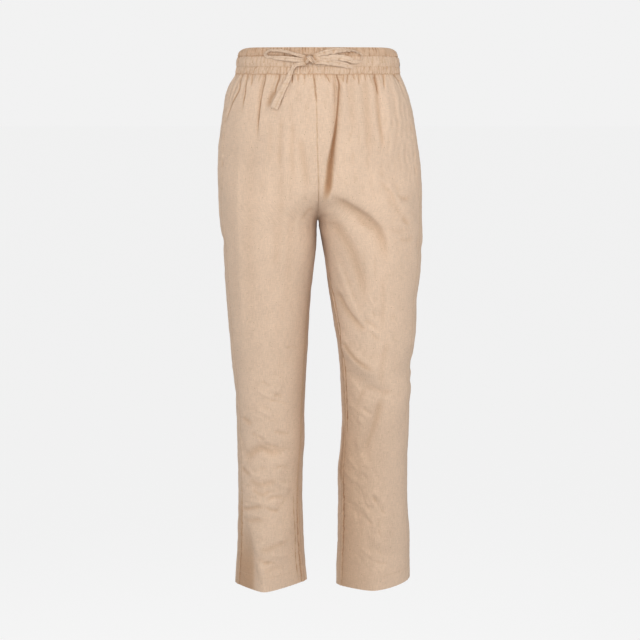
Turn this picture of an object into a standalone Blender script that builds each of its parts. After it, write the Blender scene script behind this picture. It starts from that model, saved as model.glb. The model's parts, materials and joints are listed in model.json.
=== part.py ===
"""Linen drawstring trousers, filled out as when worn, with nobody inside.

Frame: metres, +Z up, the front faces -Y, the wearer's left is +X.
The origin is the middle of the waist, half way up the waistband.

Every piece of cloth is a wall on one smooth form. The form is a stack of oval
sections: above the crotch the two halves are cut at the middle plane X = 0, and
below it each half is the closed tube of a leg. A point of the form is given by
its side, its height and its angle round the section: 0 at the outer side,
90 at the front, 180 at the inner side of the leg and 270 at the back.
"""

import math

import bmesh
import bpy
import numpy as np

# ---------------------------------------------------------------- sizes, metres
CLOTH = 0.0015          # wall of a panel
HEM_CLOTH = 0.0026      # wall where the hem is turned up and stitched
SEAM_GAP = 0.0003       # two pieces at a seam
HEM_TURN_UP = 0.028
BAND_TOP = 0.0235
BAND_FOOT = -0.0230
PANEL_TOP = BAND_FOOT - SEAM_GAP
CROTCH = -0.295
HEM = -1.006
FORK = 0.110            # height over which the two halves part into legs

# Sections: height, half width at the outer side, reach to the front and to the
# back of the middle plane Y = 0, and the Y of the widest line.
SECTION_COLUMNS = ("height", "outer", "front", "back", "middle")
SECTIONS = {
    "right": np.array([
        (0.0235, 0.1450, 0.105, 0.105, 0.000),
        (0.0000, 0.1495, 0.106, 0.105, 0.000),
        (-0.0232, 0.1530, 0.108, 0.107, 0.000),
        (-0.0400, 0.1625, 0.112, 0.110, 0.001),
        (-0.0570, 0.1695, 0.116, 0.114, 0.002),
        (-0.0850, 0.1758, 0.120, 0.121, 0.003),
        (-0.1150, 0.1803, 0.124, 0.127, 0.004),
        (-0.1500, 0.1850, 0.127, 0.132, 0.004),
        (-0.1900, 0.1882, 0.128, 0.136, 0.004),
        (-0.2400, 0.1872, 0.126, 0.134, 0.003),
        (-0.2950, 0.1845, 0.122, 0.122, 0.001),
        (-0.3400, 0.1795, 0.117, 0.112, -0.001),
        (-0.3850, 0.1767, 0.112, 0.104, -0.003),
        (-0.4330, 0.1742, 0.107, 0.096, -0.005),
        (-0.4850, 0.1710, 0.100, 0.087, -0.006),
        (-0.5450, 0.1662, 0.092, 0.079, -0.007),
        (-0.6040, 0.1600, 0.085, 0.074, -0.006),
        (-0.6430, 0.1573, 0.081, 0.071, -0.005),
        (-0.7230, 0.1562, 0.075, 0.067, -0.004),
        (-0.7630, 0.1560, 0.072, 0.066, -0.003),
        (-0.8430, 0.1556, 0.068, 0.066, -0.001),
        (-0.9250, 0.1581, 0.066, 0.067, 0.000),
        (-1.0060, 0.1632, 0.066, 0.067, 0.000)]),
    "left": np.array([
        (0.0235, 0.1455, 0.105, 0.105, 0.000),
        (0.0000, 0.1508, 0.106, 0.105, 0.000),
        (-0.0232, 0.1533, 0.108, 0.107, 0.000),
        (-0.0400, 0.1608, 0.112, 0.110, 0.001),
        (-0.0570, 0.1680, 0.116, 0.114, 0.002),
        (-0.0850, 0.1752, 0.120, 0.121, 0.003),
        (-0.1150, 0.1815, 0.124, 0.127, 0.004),
        (-0.1500, 0.1880, 0.127, 0.132, 0.004),
        (-0.1900, 0.1935, 0.128, 0.136, 0.004),
        (-0.2400, 0.1962, 0.127, 0.134, 0.003),
        (-0.2950, 0.1980, 0.124, 0.122, 0.000),
        (-0.3400, 0.1975, 0.122, 0.110, -0.005),
        (-0.3850, 0.1945, 0.120, 0.099, -0.011),
        (-0.4330, 0.1889, 0.118, 0.087, -0.017),
        (-0.4850, 0.1868, 0.115, 0.073, -0.023),
        (-0.5450, 0.1806, 0.113, 0.060, -0.029),
        (-0.5650, 0.1762, 0.111, 0.056, -0.030),
        (-0.6040, 0.1790, 0.107, 0.050, -0.029),
        (-0.6430, 0.1759, 0.100, 0.046, -0.026),
        (-0.7230, 0.1748, 0.084, 0.048, -0.018),
        (-0.7630, 0.1735, 0.076, 0.054, -0.012),
        (-0.8430, 0.1761, 0.064, 0.068, 0.000),
        (-0.9250, 0.1808, 0.060, 0.076, 0.006),
        (-1.0060, 0.1822, 0.060, 0.078, 0.008)]),
}

# Inner side of each leg: height, distance from the middle plane.
INNER_SIDES = {
    "right": np.array([
        (-0.2950, 0.0010), (-0.3100, 0.0014), (-0.3400, 0.0018), (-0.3850, 0.0066),
        (-0.4330, 0.0126), (-0.4850, 0.0155), (-0.5450, 0.0185), (-0.6040, 0.0224),
        (-0.6430, 0.0244), (-0.7230, 0.0252), (-0.7630, 0.0280), (-0.8430, 0.0288),
        (-0.9250, 0.0268), (-1.0060, 0.0205)]),
    "left": np.array([
        (-0.2950, 0.0010), (-0.3100, 0.0016), (-0.3400, 0.0064), (-0.3850, 0.0147),
        (-0.4330, 0.0216), (-0.4850, 0.0300), (-0.5450, 0.0390), (-0.6040, 0.0429),
        (-0.6430, 0.0449), (-0.7230, 0.0432), (-0.7630, 0.0394), (-0.8430, 0.0390),
        (-0.9250, 0.0378), (-1.0060, 0.0358)]),
}

# How square the inner half of a section is: height, power of its oval (2 is an
# ellipse). Near the crotch the front and back stay flat almost to the middle.
INNER_SQUARENESS = np.array([
    (0.0235, 2.0), (-0.1850, 2.0), (-0.2400, 2.35), (-0.2950, 2.6), (-0.3400, 2.6),
    (-0.4000, 2.3), (-0.5000, 2.1), (-0.6000, 2.0), (-1.0060, 2.0)])

# The centre seam wanders a little from the middle plane: height, sideways shift.
SEAM_SWAY = np.array([
    (0.0235, -0.0065), (-0.0232, -0.0065), (-0.0600, -0.0028), (-0.1570, 0.0000),
    (-0.2300, 0.0022), (-0.2950, 0.0000)])

# Angle of the two long seams round the section: height, side seam, inseam.
# Both lie forward of the widest line, because the fronts are narrower.
SEAM_ANGLES = np.array([
    (0.0235, 14.0, 180.0), (-0.0850, 15.0, 180.0), (-0.2000, 19.0, 180.0),
    (-0.2950, 24.0, 180.0), (-0.3400, 26.0, 172.5), (-0.4000, 27.0, 163.0),
    (-0.4700, 28.0, 157.0), (-0.6200, 29.0, 155.0), (-0.8500, 32.0, 147.0),
    (-1.0060, 29.0, 149.0)])

# The hem edges slope a little across: rise from the inner to the outer side.
HEM_SLOPE = {"right": -0.04, "left": 0.11}
HEM_SLOPE_START = -0.75

# Below the knee the front comes to a pressed crease: where it runs from the inner
# side (-1) to the outer side (1), and how sharp it gets outside and inside of it.
CREASE_START = -0.78
CREASES = {
    "right": {"place": 0.15, "outside": 0.75, "inside": 0.75},
    "left": {"place": 0.05, "outside": 0.10, "inside": 0.65},
}
CREASE_SOFTNESS = 0.18

SIDE_SIGN = {"right": -1.0, "left": 1.0}


# ---------------------------------------------------------------- the form
def read_curve(table, column, height):
    """Smooth curve through a numbered column of a table; its column 0 is height."""
    knots = table[::-1, 0]
    values = table[::-1, column]
    slopes = np.gradient(values, knots)
    cell = np.clip(np.searchsorted(knots, height) - 1, 0, len(knots) - 2)
    span = knots[cell + 1] - knots[cell]
    t = np.clip((height - knots[cell]) / span, 0.0, 1.0)
    start = values[cell] * (1 + 2 * t) * (1 - t) ** 2
    start = start + slopes[cell] * span * t * (1 - t) ** 2
    end = values[cell + 1] * t ** 2 * (3 - 2 * t)
    return start + end - slopes[cell + 1] * span * t ** 2 * (1 - t)


def section(side, height):
    """Outer and inner half widths, reaches to front and back, and widest line."""
    outer, front, back, middle = (
        read_curve(SECTIONS[side], column, height)
        for column in range(1, len(SECTION_COLUMNS)))
    fork = np.clip((height - CROTCH) / FORK, 0.0, 1.0)
    parting = 1.0 - fork ** 2 * (3.0 - 2.0 * fork)
    above = -outer * (1.0 - parting) / (1.0 + parting)
    below = read_curve(INNER_SIDES[side], 1, height)
    inner = np.where(height > CROTCH, above, below)
    return outer, inner, front, back, middle


def creased(side, reach, height, round_depth):
    """Depth of the front as a share, where the crease makes it a tent."""
    crease = CREASES[side]
    away = reach - crease["place"]
    half = np.where(away > 0, 1.0 - crease["place"], 1.0 + crease["place"])
    soft = CREASE_SOFTNESS
    tent = 1.0 - (np.hypot(away / half, soft) - soft) / (math.hypot(1.0, soft) - soft)
    amount = np.where(away > 0, crease["outside"], crease["inside"])
    growth = np.clip((CREASE_START - height) / (CREASE_START - HEM), 0.0, 1.0) ** 1.5
    return round_depth + (tent - round_depth) * amount * growth


def form_point(side, angle, height):
    """Point of the smooth form; angle in degrees and height may be arrays."""
    angle, height = np.broadcast_arrays(
        np.asarray(angle, float), np.asarray(height, float))
    outer, inner, front, back, middle = section(side, height)
    cosine, sine = np.cos(np.radians(angle)), np.sin(np.radians(angle))
    power = np.where(cosine < 0, 2.0 / read_curve(INNER_SQUARENESS, 1, height), 1.0)
    reach = np.sign(cosine) * np.abs(cosine) ** power
    across = (outer + inner) / 2 + (outer - inner) / 2 * reach
    depth = np.where(sine > 0, middle + front, back - middle)
    share = np.abs(sine) ** power
    share = np.where(sine > 0, creased(side, reach, height, share), share)
    y = middle - depth * np.sign(sine) * share
    sway = np.where(height > CROTCH, read_curve(SEAM_SWAY, 1, height), 0.0)
    x = SIDE_SIGN[side] * across + sway * (1 - np.clip(across / outer, 0, 1)) ** 2
    slope = np.clip((HEM_SLOPE_START - height) / (HEM_SLOPE_START - HEM), 0, 1) ** 2
    z = height + HEM_SLOPE[side] * slope * (across - (outer + inner) / 2)
    return np.stack([x, y, z], axis=-1)


def form_normal(side, angle, height):
    """Unit normal of the form, pointing out of the garment."""
    step_angle, step_height = 0.05, 0.0002
    around = (form_point(side, angle + step_angle, height)
              - form_point(side, angle - step_angle, height))
    along = (form_point(side, angle, height + step_height)
             - form_point(side, angle, height - step_height))
    normal = np.cross(along, around) * SIDE_SIGN[side]
    return normal / np.linalg.norm(normal, axis=-1, keepdims=True)


def middle_angle(side, height, back=False):
    """Angle at which a half meets its cut, half a seam gap from X = 0."""
    outer, inner, *_ = section(side, height)
    reach = (SEAM_GAP / 2 - (outer + inner) / 2) / ((outer - inner) / 2)
    power = 1.0 if reach > 0 else read_curve(INNER_SQUARENESS, 1, height) / 2.0
    cosine = math.copysign(abs(reach) ** power, reach)
    angle = math.degrees(math.acos(max(cosine, -1.0)))
    return 360.0 - angle if back else angle


# ---------------------------------------------------------------- folds
# Gathers under the waistband, by side: angle at the seam, angle where it fades
# out, length, half width and depth. Each is a soft trough in the front.
GATHERS = {
    "right": [
        (26.0, 20.0, 0.105, 0.0060, 0.0040), (34.0, 39.0, 0.070, 0.0054, 0.0040),
        (41.0, 43.0, 0.026, 0.0048, 0.0030), (51.5, 54.0, 0.125, 0.0058, 0.0052),
        (63.0, 58.5, 0.066, 0.0080, 0.0052), (74.0, 73.0, 0.024, 0.0054, 0.0034),
        (79.0, 79.0, 0.018, 0.0046, 0.0030), (83.5, 83.0, 0.020, 0.0046, 0.0028)],
    "left": [
        (83.0, 81.5, 0.018, 0.0046, 0.0030), (77.0, 84.0, 0.210, 0.0060, 0.0068),
        (72.0, 73.0, 0.022, 0.0048, 0.0030), (68.0, 71.0, 0.026, 0.0046, 0.0034),
        (64.5, 64.0, 0.018, 0.0046, 0.0030), (60.0, 61.5, 0.024, 0.0050, 0.0034),
        (47.5, 50.0, 0.130, 0.0062, 0.0050), (40.0, 42.0, 0.032, 0.0054, 0.0038),
        (25.0, 24.0, 0.036, 0.0058, 0.0034)],
}
BACK_GATHERS = 11       # on each back, by rule: uneven in place, length and depth

# Folds of the front and back, seen square on: face, X and Z of the start, the
# middle and the end, half width, height (below zero for a trough).
FOLDS = [
    ("front", (0.111, -0.208), (0.147, -0.245), (0.172, -0.283), 0.009, 0.0024),
    ("front", (0.015, -0.258), (0.080, -0.262), (0.124, -0.333), 0.015, -0.0040),
    ("front", (0.010, -0.288), (0.048, -0.376), (0.079, -0.467), 0.018, -0.0050),
    ("front", (0.041, -0.509), (0.080, -0.552), (0.118, -0.566), 0.013, 0.0055),
    ("front", (0.052, -0.560), (0.085, -0.598), (0.140, -0.612), 0.015, -0.0050),
    ("front", (0.121, -0.608), (0.105, -0.672), (0.082, -0.768), 0.016, -0.0040),
    ("front", (-0.139, -0.748), (-0.101, -0.706), (-0.050, -0.726), 0.012, -0.0026),
    ("front", (-0.141, -0.867), (-0.120, -0.920), (-0.105, -1.002), 0.014, 0.0030),
    ("back", (-0.020, -0.262), (-0.085, -0.300), (-0.150, -0.290), 0.016, -0.0045),
    ("back", (0.018, -0.266), (0.080, -0.318), (0.158, -0.322), 0.017, -0.0055),
    ("back", (-0.028, -0.330), (-0.080, -0.362), (-0.140, -0.356), 0.015, -0.0035),
    ("back", (0.045, -0.535), (0.100, -0.556), (0.165, -0.540), 0.015, -0.0065),
    ("back", (0.052, -0.590), (0.105, -0.600), (0.160, -0.588), 0.014, -0.0050),
    ("back", (-0.030, -0.560), (-0.085, -0.580), (-0.145, -0.566), 0.015, -0.0035),
    ("back", (-0.040, -0.790), (-0.090, -0.812), (-0.140, -0.796), 0.014, -0.0030),
    ("back", (0.048, -0.806), (0.100, -0.830), (0.160, -0.812), 0.014, -0.0032),
]
FOLD_STEPS = 12


def back_gathers():
    """The same rule for both backs: eleven troughs, none like its neighbour."""
    gathers = []
    for i in range(BACK_GATHERS):
        angle = 276.0 + 64.0 * (i + 0.3 * math.sin(2.4 * i)) / (BACK_GATHERS - 1)
        length = 0.040 + 0.075 * ((i * 0.618 + 0.2) % 1.0)
        depth = 0.0034 + 0.0022 * ((i * 0.382 + 0.5) % 1.0)
        gathers.append((angle, angle + 1.5, length, 0.0062, depth))
    return gathers


def gather_relief(side, angle, height):
    """Depth of the gathers at a point of the form, below zero in a trough."""
    relief = np.zeros(np.broadcast(angle, height).shape)
    drop = PANEL_TOP - height
    outer, inner, front, *_ = section(side, height)
    for start, end, length, width, depth in GATHERS[side] + back_gathers():
        along = np.clip(drop / length, 0.0, 1.0)
        centre = start + (end - start) * along
        spread = np.hypot((outer - inner) / 2 * np.sin(np.radians(centre)),
                          front * np.cos(np.radians(centre)))
        offset = np.radians(angle - centre) * spread / width
        fade = (1.0 - along) ** 0.8
        relief = relief - depth * fade * np.exp(-offset ** 2)
    return relief


def fold_relief(face, x, z):
    """Height of the folds of one face at X, Z."""
    relief = np.zeros(np.broadcast(x, z).shape)
    for fold_face, start, middle, end, width, height in FOLDS:
        if fold_face != face:
            continue
        nearest = np.full(relief.shape, np.inf)
        place = np.zeros(relief.shape)
        for step in range(FOLD_STEPS + 1):
            t = step / FOLD_STEPS
            bend = [(1 - t) ** 2 * a + 2 * t * (1 - t) * b + t ** 2 * c
                    for a, b, c in zip(start, middle, end)]
            gap = np.hypot(x - bend[0], z - bend[1])
            place = np.where(gap < nearest, t, place)
            nearest = np.minimum(gap, nearest)
        fade = np.sin(math.pi * (0.12 + 0.76 * place))
        relief = relief + height * fade * np.exp(-(nearest / width) ** 2)
    return relief


def relief_at(side, angle, height, points):
    """All of the relief of a panel; nothing at the side and inner silhouettes."""
    face = np.where(np.sin(np.radians(angle)) > 0, 1.0, 0.0)
    front = fold_relief("front", points[..., 0], points[..., 2])
    back = fold_relief("back", points[..., 0], points[..., 2])
    facing = np.clip(np.abs(np.sin(np.radians(angle))) * 3.0, 0.0, 1.0)
    folds = (face * front + (1.0 - face) * back) * facing
    return folds + gather_relief(side, angle, height)


# ---------------------------------------------------------------- panels
TOP_HEIGHTS = (PANEL_TOP, -0.033, -0.047, -0.065, -0.088)
HIP_HEIGHTS = (-0.113, -0.140, -0.168)
CROTCH_STEPS = (0.104, 0.080, 0.058, 0.040, 0.026, 0.014, 0.006, 0.0016, 0.0)
CROTCH_SIDE = 0.104     # the same rows at the side seam are spread evenly over this
LEG_ROWS = 18
GAP_STEPS = 16
FRONT_COLUMNS = 16      # twice as many in the gathered rows at the top
BACK_COLUMNS = 14


def row_heights():
    """Height of each row of points at its middle edge and at the side seam."""
    rows = [(height, height) for height in TOP_HEIGHTS + HIP_HEIGHTS]
    last = len(CROTCH_STEPS) - 1
    for i, step in enumerate(CROTCH_STEPS):
        rows.append((CROTCH + step, CROTCH + CROTCH_SIDE * (1 - i / last)))
    turn_up = HEM + HEM_TURN_UP
    for i in range(1, LEG_ROWS + 1):
        height = CROTCH + (turn_up - CROTCH) * i / LEG_ROWS
        rows.append((height, height))
    rows.append((turn_up - 0.003, turn_up - 0.003))
    rows.append((HEM, HEM))
    return rows


def edge_angles(side, back, inner_height, side_height):
    """Angles of a row's two ends: the middle or inseam end, and the side seam."""
    side_angle = read_curve(SEAM_ANGLES, 1, side_height)
    if inner_height > CROTCH:
        inner_angle = middle_angle(side, inner_height, back)
    else:
        inner_angle = read_curve(SEAM_ANGLES, 2, inner_height)
    if back:
        side_angle = 360.0 + side_angle
    return inner_angle, side_angle


def gap_angle(side, angle, height):
    """Half a seam gap, as an angle at this place of the section."""
    step = 0.05
    for _ in range(GAP_STEPS):
        arc = np.linalg.norm(form_point(side, angle + step, height)
                             - form_point(side, angle, height))
        step = step * SEAM_GAP / 2 / arc
    return step


def middle_edge_normal(side, height, back):
    """Way out of the cloth inside the plane X = 0, along the rise of the seat.

    At the crotch, where four pieces meet, it leans half way into the inseam's.
    """
    if height <= CROTCH:
        return np.array([-0.6 * SIDE_SIGN[side], 0.0, -0.8])
    step = min(0.0004, (height - CROTCH) / 2)
    y_up, y_down = (
        form_point(side, middle_angle(side, height + shift, back), height + shift)[1]
        for shift in (step, -step))
    slope = (y_up - y_down) / (2 * step)
    out = np.array([0.0, 1.0, -slope]) if back else np.array([0.0, -1.0, slope])
    return out / np.linalg.norm(out)


def panel_rows(side, back):
    """Rows of (point, way out, half wall inside) for one panel, top to hem."""
    columns = BACK_COLUMNS if back else FRONT_COLUMNS
    rows = []
    for number, (inner_height, side_height) in enumerate(row_heights()):
        count = columns * 2 if number < len(TOP_HEIGHTS) else columns
        start, end = edge_angles(side, back, inner_height, side_height)
        start_sign = 1.0 if back else -1.0
        if inner_height <= CROTCH:
            start = start + start_sign * gap_angle(side, start, inner_height)
        end = end - start_sign * gap_angle(side, end % 360.0, side_height)
        share = np.arange(count + 1) / count
        height = side_height + (inner_height - side_height) * (1 - share) ** 2
        starts = np.array([edge_angles(side, back, level, side_height)[0] for level in height])
        starts[0] = start
        angle = starts + (end - starts) * share
        points = form_point(side, angle, height)
        out = form_normal(side, angle, height)
        if number == 0 or inner_height == HEM:
            out[:, 2] = 0.0
            out = out / np.linalg.norm(out, axis=1, keepdims=True)
        if inner_height >= CROTCH:
            out[0] = middle_edge_normal(side, inner_height, back)
        relief = relief_at(side, angle % 360.0, height, points)
        points = points + out * relief[:, None]
        wall = HEM_CLOTH - CLOTH / 2 if inner_height < HEM + HEM_TURN_UP - 0.001 else CLOTH / 2
        rows.append((points, out, wall))
    return rows


def strip_faces(fine, coarse):
    """Triangles between a row of corners and one with as many or fewer."""
    ratio = (len(fine) - 1) // (len(coarse) - 1)
    turn = ratio // 2
    faces = []
    for j in range(len(coarse) - 1):
        for k in range(ratio):
            corner = coarse[j] if k < turn else coarse[j + 1]
            faces.append((corner, fine[ratio * j + k], fine[ratio * j + k + 1]))
        faces.append((coarse[j], fine[ratio * j + turn], coarse[j + 1]))
    return faces


def wall_mesh(outer_rows, inner_rows, closed=False):
    """A closed wall between two stacks of rows; closed rows run right round."""
    mesh = bmesh.new()
    outer, inner = (
        [[mesh.verts.new(point) for point in row] for row in stack]
        for stack in (outer_rows, inner_rows))
    if closed:
        for row in outer + inner:
            row.append(row[0])
    faces = []
    for stack in (outer, inner):
        for upper, lower in zip(stack, stack[1:]):
            faces += strip_faces(upper, lower)
    faces += strip_faces(outer[0], inner[0])
    faces += strip_faces(outer[-1], inner[-1])
    if not closed:
        for end in (0, -1):
            faces += strip_faces([row[end] for row in outer], [row[end] for row in inner])
    for face in faces:
        mesh.faces.new(face)
    bmesh.ops.recalc_face_normals(mesh, faces=mesh.faces)
    return mesh


def panel_walls(rows):
    """Outer and inner points of a panel's wall."""
    outer = [points + out * CLOTH / 2 for points, out, wall in rows]
    inner = [points - out * wall for points, out, wall in rows]
    return outer, inner


# ---------------------------------------------------------------- pocket bags
BAG_CLOTH = 0.0010
BAG_ROWS = 14           # rows of the front that the bag hangs behind
BAG_SHARE = 6 / 16      # of the front's width, from the side seam


def bag_walls(rows):
    """Walls of a pocket bag, from the front's own points moved inwards."""
    outer, inner = [], []
    for points, out, wall in rows[:BAG_ROWS]:
        first = round((len(points) - 1) * (1 - BAG_SHARE))
        inside = points[first:] - out[first:] * (wall + SEAM_GAP)
        outer.append(inside)
        inner.append(inside - out[first:] * BAG_CLOTH)
    return outer, inner


# ---------------------------------------------------------------- waistband
BAND_WALL = 0.0032
RUCHES = 124            # small gathers round the band
RUCHE_HEIGHT = 0.0007
INNER_STEPS = RUCHES // 2
CORNER_DIP = 0.0055     # the top edge rolls down at the two sides
# Rows of the band: height, how far the cloth stands out from the inner wall, and
# share of the ruching. The two rows of stitching draw it in.
BAND_ROWS = [
    (BAND_FOOT, 0.0020, 0.8), (-0.0162, 0.0036, 1.0), (-0.0098, 0.0018, 0.6),
    (0.0002, 0.0037, 1.0), (0.0100, 0.0018, 0.6), (0.0172, 0.0033, 1.0),
    (BAND_TOP, 0.0014, 0.5)]


def ring_point(turn, height):
    """Point of the form at a turn right round: 0 left, 90 front, 180 right."""
    if 90.0 < turn % 360.0 <= 270.0:
        return form_point("right", (180.0 - turn) % 360.0, height)
    return form_point("left", turn % 360.0, height)


def even_turns(count):
    """Turns that divide the waist into even lengths."""
    samples = np.linspace(0.0, 360.0, 1441)
    ring = np.array([ring_point(turn, 0.0) for turn in samples])
    lengths = np.linalg.norm(np.diff(ring, axis=0), axis=1)
    run = np.concatenate([[0.0], np.cumsum(lengths)])
    return np.interp(np.arange(count) * run[-1] / count, run, samples)


def band_point(turn, height, stand_out):
    """Point of the band, level with the form's own at the same turn."""
    point = ring_point(turn, height)
    ahead, behind = ring_point(turn + 0.1, height), ring_point(turn - 0.1, height)
    along = ahead - behind
    out = np.array([-along[1], along[0], 0.0])
    out = out / np.linalg.norm(out)
    if out @ point < 0:
        out = -out
    point = point + out * (stand_out - BAND_WALL)
    if height > 0.0:
        share = height / BAND_TOP
        point[2] -= CORNER_DIP * share * abs(math.cos(math.radians(turn))) ** 16
    return point


def waistband():
    """The ruched band: ruches and channels outside, plain inside."""
    outer_rows = []
    turns = even_turns(RUCHES * 2)
    for height, stand_out, share in BAND_ROWS:
        row = []
        for i, turn in enumerate(turns):
            ruche = RUCHE_HEIGHT * share * (1 if i % 2 else -1)
            uneven = 0.7 + 0.3 * math.sin(1.7 * i)
            row.append(band_point(turn, height, stand_out + ruche * uneven))
        outer_rows.append(row)
    inner_rows = [[band_point(turn, height, 0.0) for turn in even_turns(INNER_STEPS)]
                  for height in (BAND_FOOT, BAND_TOP)]
    return wall_mesh(outer_rows, inner_rows, closed=True)


# ---------------------------------------------------------------- drawstring
CORD_RADIUS = 0.0020
CORD_POINT_SPACING = 0.0090
# Routes by hand: X, Z and how far in front of the cloth the tie's middle runs.
# Each bow loop leaves the knot, turns back and returns to it; the two ends hang.
CORD_ROUTES = {
    "bow_loop_right": [
        (-0.0204, 0.0074, 0.0052), (-0.0351, 0.0112, 0.0050), (-0.0489, 0.0150, 0.0042),
        (-0.0610, 0.0178, 0.0038), (-0.0760, 0.0192, 0.0036), (-0.0880, 0.0180, 0.0036),
        (-0.0935, 0.0128, 0.0038), (-0.0890, 0.0080, 0.0042), (-0.0742, 0.0063, 0.0046),
        (-0.0525, 0.0044, 0.0050), (-0.0340, 0.0026, 0.0052), (-0.0218, 0.0018, 0.0052)],
    "bow_loop_left": [
        (-0.0074, 0.0084, 0.0052), (0.0081, 0.0135, 0.0050), (0.0294, 0.0178, 0.0040),
        (0.0511, 0.0192, 0.0031), (0.0670, 0.0176, 0.0031), (0.0775, 0.0128, 0.0032),
        (0.0800, 0.0053, 0.0034), (0.0760, -0.0004, 0.0040), (0.0660, -0.0006, 0.0048),
        (0.0511, 0.0046, 0.0056), (0.0338, 0.0068, 0.0058), (0.0187, 0.0062, 0.0056),
        (-0.0056, 0.0036, 0.0052)],
    "tie_end_left": [
        (-0.0070, -0.0022, 0.0052), (0.0134, -0.0014, 0.0042), (0.0312, -0.0030, 0.0034),
        (0.0490, -0.0066, 0.0024), (0.0634, -0.0105, 0.0010)],
    "tie_end_right": [
        (-0.0190, -0.0038, 0.0052), (-0.0320, -0.0050, 0.0042), (-0.0389, -0.0068, 0.0034),
        (-0.0436, -0.0120, 0.0032), (-0.0478, -0.0200, 0.0038), (-0.0525, -0.0320, 0.0050),
        (-0.0597, -0.0450, 0.0052), (-0.0663, -0.0585, 0.0044), (-0.0731, -0.0725, 0.0040),
        (-0.0780, -0.0828, 0.0038)],
}
KNOT_CENTRE = (-0.0135, 0.0030, 0.0052)
KNOT_SIZE = (0.0140, 0.0078, 0.0150)


def in_front(x, z, lift):
    """Point at X, Z that far in front of the garment's front."""
    side = "left" if x >= 0 else "right"
    outer, inner, front, _, middle = section(side, np.array(z))
    share = (abs(x) - (outer + inner) / 2) / ((outer - inner) / 2)
    y = middle - (middle + front) * math.sqrt(1 - share ** 2)
    return np.array([x, float(y) - lift, z])


def smooth_route(route):
    """Evenly spaced points on a smooth curve through a route's own points."""
    knots = np.array([in_front(*point) for point in route])
    padded = np.vstack([2 * knots[0] - knots[1], knots, 2 * knots[-1] - knots[-2]])
    curve = []
    for a, b, c, d in zip(padded, padded[1:], padded[2:], padded[3:]):
        for t in np.arange(0.0, 1.0, 0.05):
            curve.append(b + 0.5 * t * (c - a + t * (2 * a - 5 * b + 4 * c - d
                                                     + t * (3 * (b - c) + d - a))))
    curve = np.array(curve + [knots[-1]])
    run = np.concatenate([[0.0], np.cumsum(np.linalg.norm(np.diff(curve, axis=0), axis=1))])
    count = max(4, round(run[-1] / CORD_POINT_SPACING))
    marks = np.linspace(0.0, run[-1], count + 1)
    return np.stack([np.interp(marks, run, curve[:, i]) for i in range(3)], axis=1)


def cord_object(name):
    """A plain tube along one stretch of the drawstring."""
    data = bpy.data.curves.new(name, "CURVE")
    data.dimensions = "3D"
    data.bevel_depth = CORD_RADIUS
    data.bevel_resolution = 2
    data.use_fill_caps = True
    points = smooth_route(CORD_ROUTES[name])
    spline = data.splines.new("POLY")
    spline.points.add(len(points) - 1)
    for corner, point in zip(spline.points, points):
        corner.co = (*point, 1.0)
    return bpy.data.objects.new(name, data)


def bow_knot(collection):
    """The wrapped middle of the bow, a small rounded lump of folded tie."""
    place = in_front(*KNOT_CENTRE)
    bpy.ops.mesh.primitive_uv_sphere_add(
        segments=14, ring_count=8, radius=0.5, location=place, scale=KNOT_SIZE)
    knot = bpy.context.active_object
    knot.name = "bow_knot"
    knot.data.name = "bow_knot"
    for holder in list(knot.users_collection):
        holder.objects.unlink(knot)
    collection.objects.link(knot)
    return knot


# ---------------------------------------------------------------- materials
LINEN = (0.66, 0.50, 0.36)
POCKETING = (0.72, 0.60, 0.46)


def cloth_material(name, colour, roughness):
    """Matt cloth: a Principled BSDF with one colour."""
    material = bpy.data.materials.new(name)
    material.use_nodes = True
    shader = material.node_tree.nodes["Principled BSDF"]
    shader.inputs["Base Color"].default_value = (*colour, 1.0)
    shader.inputs["Roughness"].default_value = roughness
    shader.inputs["Metallic"].default_value = 0.0
    return material


def mesh_object(name, mesh):
    """A smooth-shaded object made from a bmesh."""
    data = bpy.data.meshes.new(name)
    mesh.to_mesh(data)
    mesh.free()
    data.shade_smooth()
    data.set_sharp_from_angle(angle=math.radians(50))
    return bpy.data.objects.new(name, data)


def build_trousers():
    """All of the pieces, in one collection."""
    for old in list(bpy.data.objects):
        bpy.data.objects.remove(old)
    trousers = bpy.data.collections.new("drawstring_trousers")
    bpy.context.scene.collection.children.link(trousers)
    pieces = {}
    for side in ("right", "left"):
        front_rows = panel_rows(side, back=False)
        back_rows = panel_rows(side, back=True)
        pieces["front_" + side] = wall_mesh(*panel_walls(front_rows))
        pieces["back_" + side] = wall_mesh(*panel_walls(back_rows))
        pieces["pocket_bag_" + side] = wall_mesh(*bag_walls(front_rows))
    pieces["waistband"] = waistband()
    for name, mesh in pieces.items():
        piece = mesh_object(name, mesh)
        trousers.objects.link(piece)
        colour = POCKETING if name.startswith("pocket_bag") else LINEN
        piece.data.materials.append(cloth_material(name, colour, 0.9))
    for name in CORD_ROUTES:
        cord = cord_object(name)
        trousers.objects.link(cord)
        cord.data.materials.append(cloth_material(name, LINEN, 0.9))
    knot = bow_knot(trousers)
    knot.data.materials.append(cloth_material("bow_knot", LINEN, 0.9))
    knot.data.shade_smooth()


build_trousers()
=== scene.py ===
# %% [markdown]
# # Linen drawstring trousers
# Straight-legged summer trousers, filled out as when worn, with nobody inside. The measured
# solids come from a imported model, and this file dresses them in cloth: four leg panels, a
# ruched waistband, two pocket bags and a flat tie in a bow. The cloth is made as nets of points
# that keep their flat sizes, because cloth is a flat sheet, and that lie on the worn shape.

# %% Load the measured frame
import json
import math

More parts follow.
